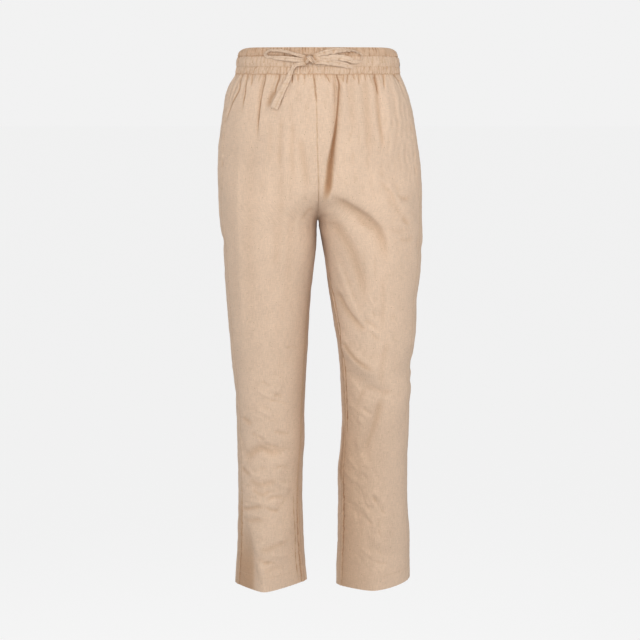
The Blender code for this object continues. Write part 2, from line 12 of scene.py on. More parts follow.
import bpy
import numpy as np
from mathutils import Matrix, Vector

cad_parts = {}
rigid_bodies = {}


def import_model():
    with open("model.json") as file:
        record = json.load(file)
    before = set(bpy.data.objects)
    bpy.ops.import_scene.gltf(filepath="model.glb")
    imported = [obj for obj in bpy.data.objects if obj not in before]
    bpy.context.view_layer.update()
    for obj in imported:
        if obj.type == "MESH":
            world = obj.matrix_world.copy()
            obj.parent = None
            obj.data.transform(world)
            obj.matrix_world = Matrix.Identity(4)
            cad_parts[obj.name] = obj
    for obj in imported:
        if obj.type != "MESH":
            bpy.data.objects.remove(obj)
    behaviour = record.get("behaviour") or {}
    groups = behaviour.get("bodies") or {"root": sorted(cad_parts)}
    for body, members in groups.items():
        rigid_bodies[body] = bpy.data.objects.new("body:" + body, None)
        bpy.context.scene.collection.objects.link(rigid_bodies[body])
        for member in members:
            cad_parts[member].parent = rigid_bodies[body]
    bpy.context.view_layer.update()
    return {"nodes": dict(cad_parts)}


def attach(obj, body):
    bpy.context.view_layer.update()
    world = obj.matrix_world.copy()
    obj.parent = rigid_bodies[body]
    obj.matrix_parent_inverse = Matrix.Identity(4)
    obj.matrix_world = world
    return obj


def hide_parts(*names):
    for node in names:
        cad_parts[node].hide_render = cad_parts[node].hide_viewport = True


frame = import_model()
print("solids in the frame:", sorted(frame["nodes"]))

# %% [markdown]
# ## Camera
# The camera stands level with the waist, 2.75 m in front, and looks a little down, so the
# hems curve and the top of the band is seen edge on. A long lens keeps the legs straight.

# %% Camera
CAMERA_PLACE = (0.0045, -2.75, -0.005)
CAMERA_PITCH = 9.919
CAMERA_LENS = 82.32

bpy.ops.object.camera_add(
    location=CAMERA_PLACE, rotation=(math.radians(90 - CAMERA_PITCH), 0, 0))
camera = bpy.context.active_object
camera.name = "studio_camera"
camera.data.lens = CAMERA_LENS
camera.data.sensor_width = 36
bpy.context.scene.camera = camera
print("camera at", CAMERA_PLACE, "pitched down", CAMERA_PITCH)

# %% [markdown]
# ## The worn shape
# The shape is a stack of oval sections. Above the crotch the two halves are cut at the middle
# plane X = 0, and below it each half is the closed tube of a leg. A point has a side, a height
# and an angle round the section: 0 outside, 90 front, 180 inside, 270 back. These are the
# sizes that the solids were cut from, so the cloth lands where the solids are.

# %% Sizes
CLOTH = 0.0015
SEAM_GAP = 0.0003
HEM_TURN_UP = 0.028
BAND_TOP = 0.0235
BAND_FOOT = -0.0230
PANEL_TOP = BAND_FOOT - SEAM_GAP
CROTCH = -0.295
HEM = -1.006
FORK = 0.110


def in_metres(rows):
    """A table in millimetres as an array in metres."""
    return np.array(rows) / 1000


print("from the top of the band to the hem:", round(BAND_TOP - HEM, 4), "m")

# %% Sections
# Columns: height, half width outside, reach to the front, reach to the back, Y of the widest.
SECTIONS = {
    "right": in_metres([
        (23.5, 145, 105, 105, 0), (0, 149.5, 106, 105, 0), (-23.2, 153, 108, 107, 0),
        (-40, 162.5, 112, 110, 1), (-57, 169.5, 116, 114, 2), (-85, 175.8, 120, 121, 3),
        (-115, 180.3, 124, 127, 4), (-150, 185, 127, 132, 4), (-190, 188.2, 128, 136, 4),
        (-240, 187.2, 126, 134, 3), (-295, 184.5, 122, 122, 1), (-340, 179.5, 117, 112, -1),
        (-385, 176.7, 112, 104, -3), (-433, 174.2, 107, 96, -5), (-485, 171, 100, 87, -6),
        (-545, 166.2, 92, 79, -7), (-604, 160, 85, 74, -6), (-643, 157.3, 81, 71, -5),
        (-723, 156.2, 75, 67, -4), (-763, 156, 72, 66, -3), (-843, 155.6, 68, 66, -1),
        (-925, 158.1, 66, 67, 0), (-1006, 163.2, 66, 67, 0)]),
    "left": in_metres([
        (23.5, 145.5, 105, 105, 0), (0, 150.8, 106, 105, 0), (-23.2, 153.3, 108, 107, 0),
        (-40, 160.8, 112, 110, 1), (-57, 168, 116, 114, 2), (-85, 175.2, 120, 121, 3),
        (-115, 181.5, 124, 127, 4), (-150, 188, 127, 132, 4), (-190, 193.5, 128, 136, 4),
        (-240, 196.2, 127, 134, 3), (-295, 198, 124, 122, 0), (-340, 197.5, 122, 110, -5),
        (-385, 194.5, 120, 99, -11), (-433, 188.9, 118, 87, -17), (-485, 186.8, 115, 73, -23),
        (-545, 180.6, 113, 60, -29), (-565, 176.2, 111, 56, -30), (-604, 179, 107, 50, -29),
        (-643, 175.9, 100, 46, -26), (-723, 174.8, 84, 48, -18), (-763, 173.5, 76, 54, -12),
        (-843, 176.1, 64, 68, 0), (-925, 180.8, 60, 76, 6), (-1006, 182.2, 60, 78, 8)]),
}
# Inner side of each leg: height, distance from the middle plane.
INNER_SIDES = {
    "right": in_metres([
        (-295, 1), (-310, 1.4), (-340, 1.8), (-385, 6.6), (-433, 12.6), (-485, 15.5),
        (-545, 18.5), (-604, 22.4), (-643, 24.4), (-723, 25.2), (-763, 28), (-843, 28.8),
        (-925, 26.8), (-1006, 20.5)]),
    "left": in_metres([
        (-295, 1), (-310, 1.6), (-340, 6.4), (-385, 14.7), (-433, 21.6), (-485, 30), (-545, 39),
        (-604, 42.9), (-643, 44.9), (-723, 43.2), (-763, 39.4), (-843, 39), (-925, 37.8),
        (-1006, 35.8)]),
}
print("sections:", len(SECTIONS["right"]), "right and", len(SECTIONS["left"]), "left")

# %% Seams and pressed creases
INNER_SQUARENESS = np.array([
    (0.0235, 2.0), (-0.1850, 2.0), (-0.2400, 2.35), (-0.2950, 2.6), (-0.3400, 2.6),
    (-0.4000, 2.3), (-0.5000, 2.1), (-0.6000, 2.0), (-1.0060, 2.0)])
SEAM_SWAY = in_metres([
    (23.5, -6.5), (-23.2, -6.5), (-60, -2.8), (-157, 0), (-230, 2.2), (-295, 0)])
# Height, angle of the side seam, angle of the inseam.
SEAM_ANGLES = np.array([
    (0.0235, 14.0, 180.0), (-0.0850, 15.0, 180.0), (-0.2000, 19.0, 180.0),
    (-0.2950, 24.0, 180.0), (-0.3400, 26.0, 172.5), (-0.4000, 27.0, 163.0),
    (-0.4700, 28.0, 157.0), (-0.6200, 29.0, 155.0), (-0.8500, 32.0, 147.0),
    (-1.0060, 29.0, 149.0)])
HEM_SLOPE = {"right": -0.04, "left": 0.11}
HEM_SLOPE_START = -0.75
CREASE_START = -0.78
CREASES = {
    "right": {"place": 0.15, "outside": 0.75, "inside": 0.75},
    "left": {"place": 0.05, "outside": 0.10, "inside": 0.65},
}
CREASE_SOFTNESS = 0.18
SIDE_SIGN = {"right": -1.0, "left": 1.0}
print("pressed creases start", round(CREASE_START - HEM, 3), "m above the hem")


# %% Curves through a table
def clamp(value):
    """Kept between nought and one."""
    return np.clip(value, 0.0, 1.0)


def eased(value):
    """The same between nought and one, with a soft start and end."""
    value = clamp(value)
    return value * value * (3.0 - 2.0 * value)


def unit(vectors):
    """The same directions, one long."""
    return vectors / np.linalg.norm(vectors, axis=-1, keepdims=True)


def read_curve(table, column, height):
    """Smooth curve through one column of a table, read at a height."""
    knots = table[::-1, 0]
    values = table[::-1, column]
    slopes = np.gradient(values, knots)
    cell = np.clip(np.searchsorted(knots, height) - 1, 0, len(knots) - 2)
    span = knots[cell + 1] - knots[cell]
    t = clamp((height - knots[cell]) / span)
    start = values[cell] * (1 + 2 * t) * (1 - t) ** 2
    start = start + slopes[cell] * span * t * (1 - t) ** 2
    end = values[cell + 1] * t ** 2 * (3 - 2 * t)
    return start + end - slopes[cell + 1] * span * t ** 2 * (1 - t)


print("half width 0.1 m down:", round(float(read_curve(SECTIONS["left"], 1, -0.1)), 4), "m")


# %% Points of the worn shape
def section(side, height):
    """Outer and inner half widths, reaches to front and back, and the widest line."""
    outer, front, back, middle = (
        read_curve(SECTIONS[side], column, height) for column in range(1, 5))
    parting = 1.0 - eased((height - CROTCH) / FORK)
    above = -outer * (1.0 - parting) / (1.0 + parting)
    below = read_curve(INNER_SIDES[side], 1, height)
    return outer, np.where(height > CROTCH, above, below), front, back, middle


def creased(side, reach, height, round_depth):
    """Depth of the front as a share, where the pressed crease makes it a tent."""
    crease = CREASES[side]
    away = reach - crease["place"]
    half = np.where(away > 0, 1.0 - crease["place"], 1.0 + crease["place"])
    soft = CREASE_SOFTNESS
    tent = 1.0 - (np.hypot(away / half, soft) - soft) / (math.hypot(1.0, soft) - soft)
    amount = np.where(away > 0, crease["outside"], crease["inside"])
    growth = clamp((CREASE_START - height) / (CREASE_START - HEM)) ** 1.5
    return round_depth + (tent - round_depth) * amount * growth


def form_point(side, angle, height):
    """Point of the smooth filled-out shape."""
    angle, height = np.broadcast_arrays(np.asarray(angle, float), np.asarray(height, float))
    outer, inner, front, back, middle = section(side, height)
    cosine, sine = np.cos(np.radians(angle)), np.sin(np.radians(angle))
    power = np.where(cosine < 0, 2.0 / read_curve(INNER_SQUARENESS, 1, height), 1.0)
    reach = np.sign(cosine) * np.abs(cosine) ** power
    across = (outer + inner) / 2 + (outer - inner) / 2 * reach
    depth = np.where(sine > 0, middle + front, back - middle)
    share = np.abs(sine) ** power
    share = np.where(sine > 0, creased(side, reach, height, share), share)
    y = middle - depth * np.sign(sine) * share
    sway = np.where(height > CROTCH, read_curve(SEAM_SWAY, 1, height), 0.0)
    x = SIDE_SIGN[side] * across + sway * (1 - clamp(across / outer)) ** 2
    slope = clamp((HEM_SLOPE_START - height) / (HEM_SLOPE_START - HEM)) ** 2
    z = height + HEM_SLOPE[side] * slope * (across - (outer + inner) / 2)
    return np.stack([x, y, z], axis=-1)


def form_normal(side, angle, height):
    """Unit normal of the filled-out shape, pointing out of the garment."""
    turn, rise = 0.05, 0.0002
    around = form_point(side, angle + turn, height) - form_point(side, angle - turn, height)
    along = form_point(side, angle, height + rise) - form_point(side, angle, height - rise)
    return unit(np.cross(along, around) * SIDE_SIGN[side])


print("waist half width:", round(float(section("left", np.array(0.0))[0]), 4), "m")


# %% Edges of a panel
def middle_angle(side, height, back):
    """Angle at which a half meets the middle plane, half a seam gap short of it."""
    outer, inner, *_ = section(side, height)
    reach = (SEAM_GAP / 2 - (outer + inner) / 2) / ((outer - inner) / 2)
    power = np.where(reach > 0, 1.0, read_curve(INNER_SQUARENESS, 1, height) / 2.0)
    cosine = np.sign(reach) * np.abs(reach) ** power
    angle = np.degrees(np.arccos(np.clip(cosine, -1.0, 1.0)))
    return 360.0 - angle if back else angle


def inner_angle(side, back, height):
    """Angle of a panel's inner edge: the middle plane above the crotch, then the inseam."""
    seam = read_curve(SEAM_ANGLES, 2, height)
    return np.where(height > CROTCH, middle_angle(side, height, back), seam)


print("inner edge at the hem:", float(inner_angle("left", False, np.array(HEM))), "degrees")

# %% [markdown]
# ## A net of points for each panel
# Rows run across a panel and columns run down it. Down the middle edge the rows are spaced by
# the cloth's own length, so the curve of the crotch gets as many points as the straight leg.
# Rows are level at the side seam, so they lean in the hip, as the weft of real cloth does.

# %% Nets of the panels
CROTCH_RISE = 0.104
ROWS_TOP, ROWS_CROTCH, ROWS_LEG = 80, 48, 228
FRONT_COLUMNS = 240
BACK_COLUMNS = 144
EDGE_CLOSENESS = 0.40


def run_along(path):
    """Distance along a path at each of its points."""
    return np.concatenate([[0.0], np.cumsum(np.linalg.norm(np.diff(path, axis=0), axis=1))])


def run_across(points):
    """Distance along each row of a net."""
    return np.stack([run_along(row) for row in points])


def row_heights(side, back):
    """Heights of the rows at the inner edge and at the side seam."""
    top = np.linspace(PANEL_TOP, CROTCH + CROTCH_RISE, ROWS_TOP + 1)
    fine = CROTCH + CROTCH_RISE * np.linspace(1.0, 0.0, 1200) ** 2.5
    fine[-1] = CROTCH + 1e-7
    edge = form_point(side, middle_angle(side, fine, back), fine)
    run = run_along(edge)
    marks = np.linspace(0.0, run[-1], ROWS_CROTCH + 1)[1:]
    crotch = np.interp(marks, run, fine)
    crotch[-1] = CROTCH
    level = np.linspace(CROTCH + CROTCH_RISE, CROTCH, ROWS_CROTCH + 1)[1:]
    leg = np.linspace(CROTCH, HEM, ROWS_LEG + 1)[1:]
    return np.concatenate([top, crotch, leg]), np.concatenate([top, level, leg])


def panel_net(side, back):
    """Angles and heights of every point of a panel, and its distances in the cloth."""
    columns = BACK_COLUMNS if back else FRONT_COLUMNS
    even = np.linspace(0.0, 1.0, columns + 1)
    share = even + EDGE_CLOSENESS * (0.5 - 0.5 * np.cos(math.pi * even) - even)
    inner_height, side_height = (h[:, None] for h in row_heights(side, back))
    height = side_height + (inner_height - side_height) * (1 - share) ** 2
    start = inner_angle(side, back, height)
    end = read_curve(SEAM_ANGLES, 1, side_height) + (360.0 if back else 0.0)
    angle = start + (end - start) * share
    points = form_point(side, angle, height)
    across = run_across(points)
    return {"side": side, "back": back, "angle": angle, "height": height,
            "points": points, "across": across, "width": across[:, -1:],
            "normal": form_normal(side, angle, height)}


nets = {(side, back): panel_net(side, back)
        for side in ("right", "left") for back in (False, True)}
for (side, back), net in nets.items():
    face = "back" if back else "front"
    print(face, side, net["angle"].shape, "hip width", round(float(net["width"][60, 0]), 3))

# %% [markdown]
# ## Folds
# A fold is a low ridge or trough along a path. The large ones are those of the solids: the
# gathers under the waistband, the drag lines from the crotch and the bends at the knee. Each
# has its own place, length, width and depth, because no two folds in real cloth are alike.

# %% Sizes of the large folds, as in the solids
# Columns: angle at the band, angle where it fades, then in mm length, half width, depth.
GATHERS = {
    "right": [
        (26, 20, 105, 6, 4), (34, 39, 70, 5.4, 4), (41, 43, 26, 4.8, 3),
        (51.5, 54, 125, 5.8, 5.2), (63, 58.5, 66, 8, 5.2), (74, 73, 24, 5.4, 3.4),
        (79, 79, 18, 4.6, 3), (83.5, 83, 20, 4.6, 2.8)],
    "left": [
        (83, 81.5, 18, 4.6, 3), (77, 84, 210, 6, 6.8), (72, 73, 22, 4.8, 3),
        (68, 71, 26, 4.6, 3.4), (64.5, 64, 18, 4.6, 3), (60, 61.5, 24, 5, 3.4),
        (47.5, 50, 130, 6.2, 5), (40, 42, 32, 5.4, 3.8), (25, 24, 36, 5.8, 3.4)],
}
BACK_GATHERS = 11
GATHER_SHARPNESS = 0.62
# Columns in mm: face, X and Z of the start, the middle and the end, half width, height.
FOLDS = [
    ("front", (111, -208), (147, -245), (172, -283), 9, 2.4),
    ("front", (15, -258), (80, -262), (124, -333), 15, -4),
    ("front", (10, -288), (48, -376), (79, -467), 18, -5),
    ("front", (41, -509), (80, -552), (118, -566), 13, 5.5),
    ("front", (52, -560), (85, -598), (140, -612), 15, -5),
    ("front", (121, -608), (105, -672), (82, -768), 16, -4),
    ("front", (-139, -748), (-101, -706), (-50, -726), 12, -2.6),
    ("front", (-141, -867), (-120, -920), (-105, -1002), 14, 3),
    ("back", (-20, -262), (-85, -300), (-150, -290), 16, -4.5),
    ("back", (18, -266), (80, -318), (158, -322), 17, -5.5),
    ("back", (-28, -330), (-80, -362), (-140, -356), 15, -3.5),
    ("back", (45, -535), (100, -556), (165, -540), 15, -6.5),
    ("back", (52, -590), (105, -600), (160, -588), 14, -5),
    ("back", (-30, -560), (-85, -580), (-145, -566), 15, -3.5),
    ("back", (-40, -790), (-90, -812), (-140, -796), 14, -3),
    ("back", (48, -806), (100, -830), (160, -812), 14, -3.2),
]


print("large folds:", len(FOLDS), "and gathers:", sum(map(len, GATHERS.values())))


# %% Gathers under the band
def back_gathers():
    """Eleven troughs for each back, none like its neighbour."""
    gathers = []
    for i in range(BACK_GATHERS):
        angle = 276.0 + 64.0 * (i + 0.3 * math.sin(2.4 * i)) / (BACK_GATHERS - 1)
        length = 40 + 75 * ((i * 0.618 + 0.2) % 1.0)
        depth = 3.4 + 2.2 * ((i * 0.382 + 0.5) % 1.0)
        gathers.append((angle, angle + 1.5, length, 6.2, depth))
    return gathers


def bell(offset):
    """One in the middle, falling smoothly to nothing about two away."""
    return np.exp(-offset ** 2)


def gather_relief(net):
    """The solids' gathers: soft troughs that start at the waistband and fade."""
    relief = np.zeros(net["angle"].shape)
    outer, inner, front, *_ = section(net["side"], net["height"])
    for start, end, *sizes in GATHERS[net["side"]] + back_gathers():
        length, width, depth = in_metres(sizes)
        along = clamp((PANEL_TOP - net["height"]) / length)
        centre = start + (end - start) * along
        spread = np.hypot((outer - inner) / 2 * np.sin(np.radians(centre)),
                          front * np.cos(np.radians(centre)))
        sharp = 1.0 if net["back"] else GATHER_SHARPNESS
        offset = np.radians(net["angle"] % 360.0 - centre) * spread / (width * sharp)
        relief -= depth * sharp * (1.0 - along) ** 0.8 * bell(offset)
    return relief


print("gathers on each back:", len(back_gathers()))


# %% Paths
def nearest_on_path(path, x, z):
    """Distance to a path, on which side of it, and how far along it, for every point."""
    path = np.asarray(path)
    nearest = np.full(x.shape, np.inf)
    hand = np.zeros(x.shape)
    place = np.zeros(x.shape)
    run = run_along(path)
    for a, b, before, after in zip(path, path[1:], run, run[1:]):
        step = b - a
        t = clamp(((x - a[0]) * step[0] + (z - a[1]) * step[1]) / (step @ step))
        gap_x, gap_z = x - a[0] - t * step[0], z - a[1] - t * step[1]
        gap = np.hypot(gap_x, gap_z)
        closer = gap < nearest
        nearest = np.where(closer, gap, nearest)
        hand = np.where(closer, np.sign(step[0] * gap_z - step[1] * gap_x), hand)
        place = np.where(closer, (before + t * (after - before)) / run[-1], place)
    return nearest, hand, place


def smooth_path(knots, steps=8):
    """A rounded path through a few knots."""
    knots = np.asarray(knots, float)
    padded = np.vstack([2 * knots[0] - knots[1], knots, 2 * knots[-1] - knots[-2]])
    path = []
    for a, b, c, d in zip(padded, padded[1:], padded[2:], padded[3:]):
        for t in np.arange(steps) / steps:
            path.append(b + 0.5 * t * (c - a + t * (2 * a - 5 * b + 4 * c - d
                                                    + t * (3 * (b - c) + d - a))))
    return np.array(path + [knots[-1]])


print("points of a rounded path:", len(smooth_path([(0, 0), (1, 1), (2, 0)])))


# %% Folds along paths
def off_seams(net, over=0.007):
    """Nought at both long edges of a panel and one away from them, so that edges meet."""
    return eased(np.minimum(net["across"], net["width"] - net["across"]) / over)


def fold_relief(net):
    """The solids' large folds, seen square on."""
    x, z = net["points"][..., 0], net["points"][..., 2]
    relief = np.zeros(x.shape)
    for face, *knots, width, height in FOLDS:
        if (face == "back") != net["back"]:
            continue
        start, middle, end = in_metres(knots)
        width, height = width / 1000, height / 1000
        bend = [(1 - t) ** 2 * start + 2 * t * (1 - t) * middle + t ** 2 * end
                for t in np.linspace(0, 1, 13)]
        nearest, _, place = nearest_on_path(bend, x, z)
        fade = np.sin(math.pi * (0.12 + 0.76 * place))
        relief += height * fade * bell(nearest / width)
    facing = clamp(np.abs(np.sin(np.radians(net["angle"]))) * 3.0)
    return relief * facing * off_seams(net)


for net in nets.values():
    net["relief"] = gather_relief(net) + fold_relief(net)
print("deepest gather:", round(min(float(n["relief"].min()) for n in nets.values()), 4), "m")

# %% [markdown]
# ## Sharper creases
# On top of the large folds lie the creases that catch the eye: thin tucks below the waistband,
# overlaps where one bit of cloth laps over the next, and the wandering creases of wear. A tuck
# is a narrow trough. A lap drops steeply on one side and rises slowly again beyond it. The
# deepest ones also get painted shade, kept in an attribute, so that the finish is darker there,
# where two layers of cloth that touch let no light in.

# %% Listed creases
# Columns: face, kind, half width, height, painted shade of the edge, painted shade of the slope,
# knots (X, Z).
# Sizes and places are in millimetres, and a longer row goes on in the next line.
# A path is read downwards or to the wearer's left; "lap-" drops below it or to its right side
# in the view from the front, and "lap+" on the other side. A "valley" starts as a thin line
# and opens lower down.
FACES = ("front", "back", "right_side", "left_side")
HAND_CREASES = []


def add_creases(title, table):
    """Rows of a crease table in millimetres, added to the list in metres."""
    rows = []
    for word in table.split():
        if word in FACES:
            rows.append([])
        rows[-1].append(word)
    for face, kind, *numbers in rows:
        width, height, edge, slope, *knots = map(float, numbers)
        knots = [(x / 1000, z / 1000) for x, z in zip(knots[::2], knots[1::2])]
        HAND_CREASES.append((face, kind, width / 1000, height / 1000, edge, slope, knots))
    print(title + ":", len(rows), "creases")


add_creases("under the band, right", """
front tuck 1.5 -1.6 .42 0  -138.5 -24 -143.4 -51 -158.7 -79 -170 -115
front tuck 1.4 -1.8 .5 0  -128 -24 -131.5 -56 -137.5 -90
front tuck 1.3 -1.1 .35 0  -119 -24 -119.8 -46
front tuck 1.4 -2.2 .62 0  -96 -24 -94.8 -33 -100.7 -56 -105.2 -86 -109 -138
front lap- 7 1.4 0 .1  -96 -26 -101 -56 -106 -90 -110 -150
front tuck 2 -2.6 .52 0  -69 -24 -70 -33 -76 -50 -80 -66
front soft 4.8 -2 .3 0  -77 -50 -85 -66 -90 -84
front tuck 1.8 -2.4 .5 0  -50 -24 -52 -34 -60 -50 -64.5 -64 -67.6 -84
front tuck 1.3 -1.7 .55 0  -45.2 -24 -45.6 -40
front tuck 1.2 -1.2 .4 0  -35 -23 -35.2 -36
front tuck 1.2 -1.1 .4 0  -22.8 -23 -23.6 -33
front tuck 1.3 -1.3 .5 0  -6.6 -24 -5.2 -40 -3 -62
""")

# %% Creases under the band, the wearer's left
add_creases("under the band, left", """
front tuck 1.3 -1.3 .45 0  15.5 -25 19 -30 22.6 -38
front valley 6.2 -4.6 .72 0  34.5 -24 39.1 -38 38.6 -57.5 36.4 -86 33 -119 28 -151 24 -175.5
    19 -222 10.3 -256
front lap- 17 3.4 0 .1  41.5 -30 42 -60 40.5 -90 37.5 -125 33.5 -160 28.5 -200 20 -240
front tuck 1.3 -1.4 .45 0  47.3 -24 45.5 -38
front tuck 1.4 -1.5 .45 0  54.5 -24 52.3 -41
front tuck 1.2 -1.2 .4 0  63.5 -24 67.2 -33
front tuck 1.3 -1.3 .4 0  74.3 -24 74.5 -43
front tuck 1.2 -1.1 .35 0  86 -24 86.8 -36
front tuck 1.5 -2 .5 0  104.4 -24 108.6 -44 111.2 -66
front lap- 11 2.8 .12 .22  106 -30 109.6 -50 111.9 -78 116.5 -115 124.5 -168
front tuck 1.4 -1.4 .42 0  119.8 -24 122.2 -50
front tuck 1.5 -1.5 .45 0  140.5 -24 146 -30 155 -38
""")

# %% Long soft flutes that fall from the gathers
add_creases("flutes", """
front soft 8 -1.2 .05 0  60 -34 62 -80 66 -140
front soft 5 1.6 0 0  48 -40 47.6 -90 45 -150
front soft 9 -1.4 .08 0  86 -40 90 -100 96 -180
front soft 8 1.2 0 0  126 -50 133 -100 140 -180
front soft 6 -0.8 .04 0  -83 -110 -85 -150 -85 -180
front soft 6.4 -1 .05 0  -64 -90 -68 -150 -70 -210
front soft 6 -1.1 .06 0  -43 -100 -46 -160 -42 -230
front soft 8 -1.6 .08 0  -33 -130 -24 -180 -17 -240
front soft 6 1.3 0 0  -56 -100 -58 -170 -59 -260
front soft 5 1.2 0 0  -16 -40 -24 -70 -33 -100
front soft 10 -1.4 .03 0  -64 -180 -68 -300 -74 -420
front soft 8 1.2 0 0  -86 -110 -90 -220 -94 -340 -94 -460
front soft 12 -1.4 .03 0  -118 -120 -123 -240 -124 -380 -120 -540
front soft 10 -1.2 .03 0  -44 -250 -50 -340 -56 -480
front soft 5 1 0 0  -138 -60 -133 -80 -129 -110
front soft 6 1.2 0 0  -142 -130 -146 -260 -142 -420 -136 -560
front soft 1.8 -0.6 .06 0  83.8 -330 83.2 -390 82.6 -452
front soft 1.8 -0.5 .05 0  104 -337 104.4 -404
front soft 6 -1 .05 0  118 -380 120 -440 117 -500
""")

# %% The pocket bag under the wearer's left hip
add_creases("over the pocket bag", """
front lap- 11 1.3 0 .09  110.6 -206 125 -224 136 -236 145 -260 160 -281 176 -282
front soft 5 -1 .07 0  146 -247 158 -246 176 -242
front soft 6 -1 .08 0  150 -316 162 -322 180 -318
""")

# %% Drag lines from the crotch over the thigh
add_creases("drag lines", """
front lap- 26 6 0 .19  23.8 -234.3 53.1 -250.3 81.7 -266.9 102.2 -283.1 118.7 -304.5 127.5 -339
    129 -375
front soft 13 -4 .12 0  11 -282 33 -299 59.4 -337.6 72 -372 80.7 -404 82.2 -450
front soft 5.5 2 0 0  28.2 -356.6 54.1 -420.9 81.2 -474.8
front lap- 17 4.2 .06 .19  33.5 -410 54.7 -448.5 81.5 -481 84.5 -500.1
front soft 4 -1 .1 0  -6 -262 -18 -270 -30 -288
""")

# %% The wearer's left knee and shin
add_creases("left knee and shin", """
front lap+ 15 4.6 .1 .22  40.7 -509 61.2 -536 80 -553 93 -560.5 112 -568
front soft 4.5 1.8 0 0  44 -500 60 -526 80 -544 98 -551
front soft 10.5 -3.2 .12 0  121 -608 113 -640 105 -672 87 -726 82 -768
front soft 8 -1.8 .1 0  90 -590 72 -630 60 -680
front soft 7 1.6 0 0  135 -600 124 -650 106 -710
front soft 6 -1.4 .08 0  64 -690 72 -742 78 -800
front soft 5 -1.2 .08 0  66 -830 78 -850 96 -856
front soft 7 -1.2 .06 0  90 -880 98 -925 96 -985
front soft 6 1 0 0  128 -800 132 -870 126 -940
front soft 8 -1.4 .05 0  130 -500 118 -560 123 -620
front soft 6 1.2 0 0  82 -640 80 -700 70 -760
front soft 5 -1.2 .06 0  90 -700 96 -740 108 -760
""")

# %% The wearer's right shin
add_creases("right shin", """
front soft 7 -1.2 .05 0  -150 -700 -135 -742 -128 -770
front soft 8 1.2 0 0  -50 -740 -70 -764 -82 -800
front soft 7 -1.2 .05 0  -44 -800 -64 -830 -90 -850
front soft 9.2 -2.4 .12 0  -140 -750 -123 -729 -104 -718 -85 -727 -64 -722 -48 -709
front soft 10 1.1 0 0  -130 -764 -108 -736 -86 -746 -60 -736
front soft 6 -1.6 .12 0  -144 -664 -133 -669 -124 -678
front soft 6 -1.8 .14 0  -148 -764 -135 -772 -126 -768
front soft 7.2 -1.7 .1 0  -134 -784 -113 -792 -90 -788 -70 -776
front soft 5 -1.5 .1 0  -128 -802 -108 -812 -84 -804
front lap- 10 3 .04 .2  -153 -848 -134 -842 -112 -834 -102 -838
front soft 6.5 -1.6 .1 0  -150 -866 -129 -868 -105 -858
front soft 7 -1.4 .08 0  -113 -926 -86 -918 -60 -908 -44 -896
front soft 8 -1 .05 0  -106 -968 -86 -962 -60 -956
front lap- 26 3.4 0 .08  -143 -856 -133 -886 -123 -918 -115 -957 -106 -1012
""")

# %% The seat and the backs of the knees
add_creases("seat and backs of the knees", """
back lap- 16 4.4 .06 .26  -150 -276 -90 -290 -45 -280 -10 -250
back lap- 16 4.6 .06 .26  10 -252 48 -286 95 -312 160 -312
back lap- 12 2.8 0 .2  -110 -350 -56 -340 -18 -310
back lap- 12 2.8 0 .2  22 -318 60 -352 120 -370
back lap- 12 4.4 .08 .28  45 -526 82 -542 120 -546 168 -532
back lap- 9 2.6 0 .2  52 -570 90 -580 148 -564
back lap- 11 3 .05 .24  -142 -546 -78 -560 -34 -540
back lap- 9 2.2 0 .18  -134 -604 -86 -616 -42 -598
back soft 7 -1.8 .06 0  60 -640 98 -656 142 -650
back soft 8 -2 .05 0  -80 -50 -86 -140 -98 -230
back soft 8 -2 .05 0  76 -60 86 -150 104 -240
back soft 6 1.4 0 0  -62 -50 -68 -120 -74 -190
back soft 6 1.4 0 0  60 -50 66 -110 70 -180
back soft 7 -1.8 .05 0  -40 -60 -46 -140 -50 -220
back soft 7 -1.8 .05 0  34 -60 40 -130 44 -220
back soft 7 1.4 0 0  -96 -840 -92 -930 -92 -1004
back soft 7 1.4 0 0  110 -840 108 -930 109 -1004
back soft 10 -1.6 0 0  -108 -640 -112 -720 -106 -800
back soft 10 -1.6 0 0  124 -680 120 -740 126 -820
""")

# %% The outsides of the legs, knots (Y, Z)
add_creases("outsides of the legs", """
right_side soft 6 -1.8 .05 0  -30 -30 -34 -80
right_side soft 7 -2 .05 0  20 -30 26 -110
right_side soft 7 1.4 0 0  46 -50 50 -140
right_side soft 12 -2.4 .04 0  -60 -300 -20 -330 40 -330
right_side lap- 12 2.6 0 .16  60 -540 20 -566 -30 -570
right_side soft 8 -1.8 .04 0  50 -604 10 -626 -30 -622
right_side soft 10 -1.8 .03 0  0 -700 8 -800 0 -900
left_side soft 6 -1.8 .05 0  -34 -30 -36 -70
left_side soft 7 -2 .05 0  14 -30 20 -100
left_side soft 7 1.4 0 0  40 -50 50 -130
left_side soft 12 -2.4 .04 0  -70 -320 -30 -346 30 -350
left_side lap- 11 3 0 .18  40 -546 0 -562 -60 -558
left_side soft 7 -2.4 .05 0  30 -586 -10 -600 -60 -590
left_side soft 6 1.6 0 0  20 -572 -20 -580 -70 -574
left_side soft 10 -1.8 .03 0  0 -700 10 -800 4 -900
""")

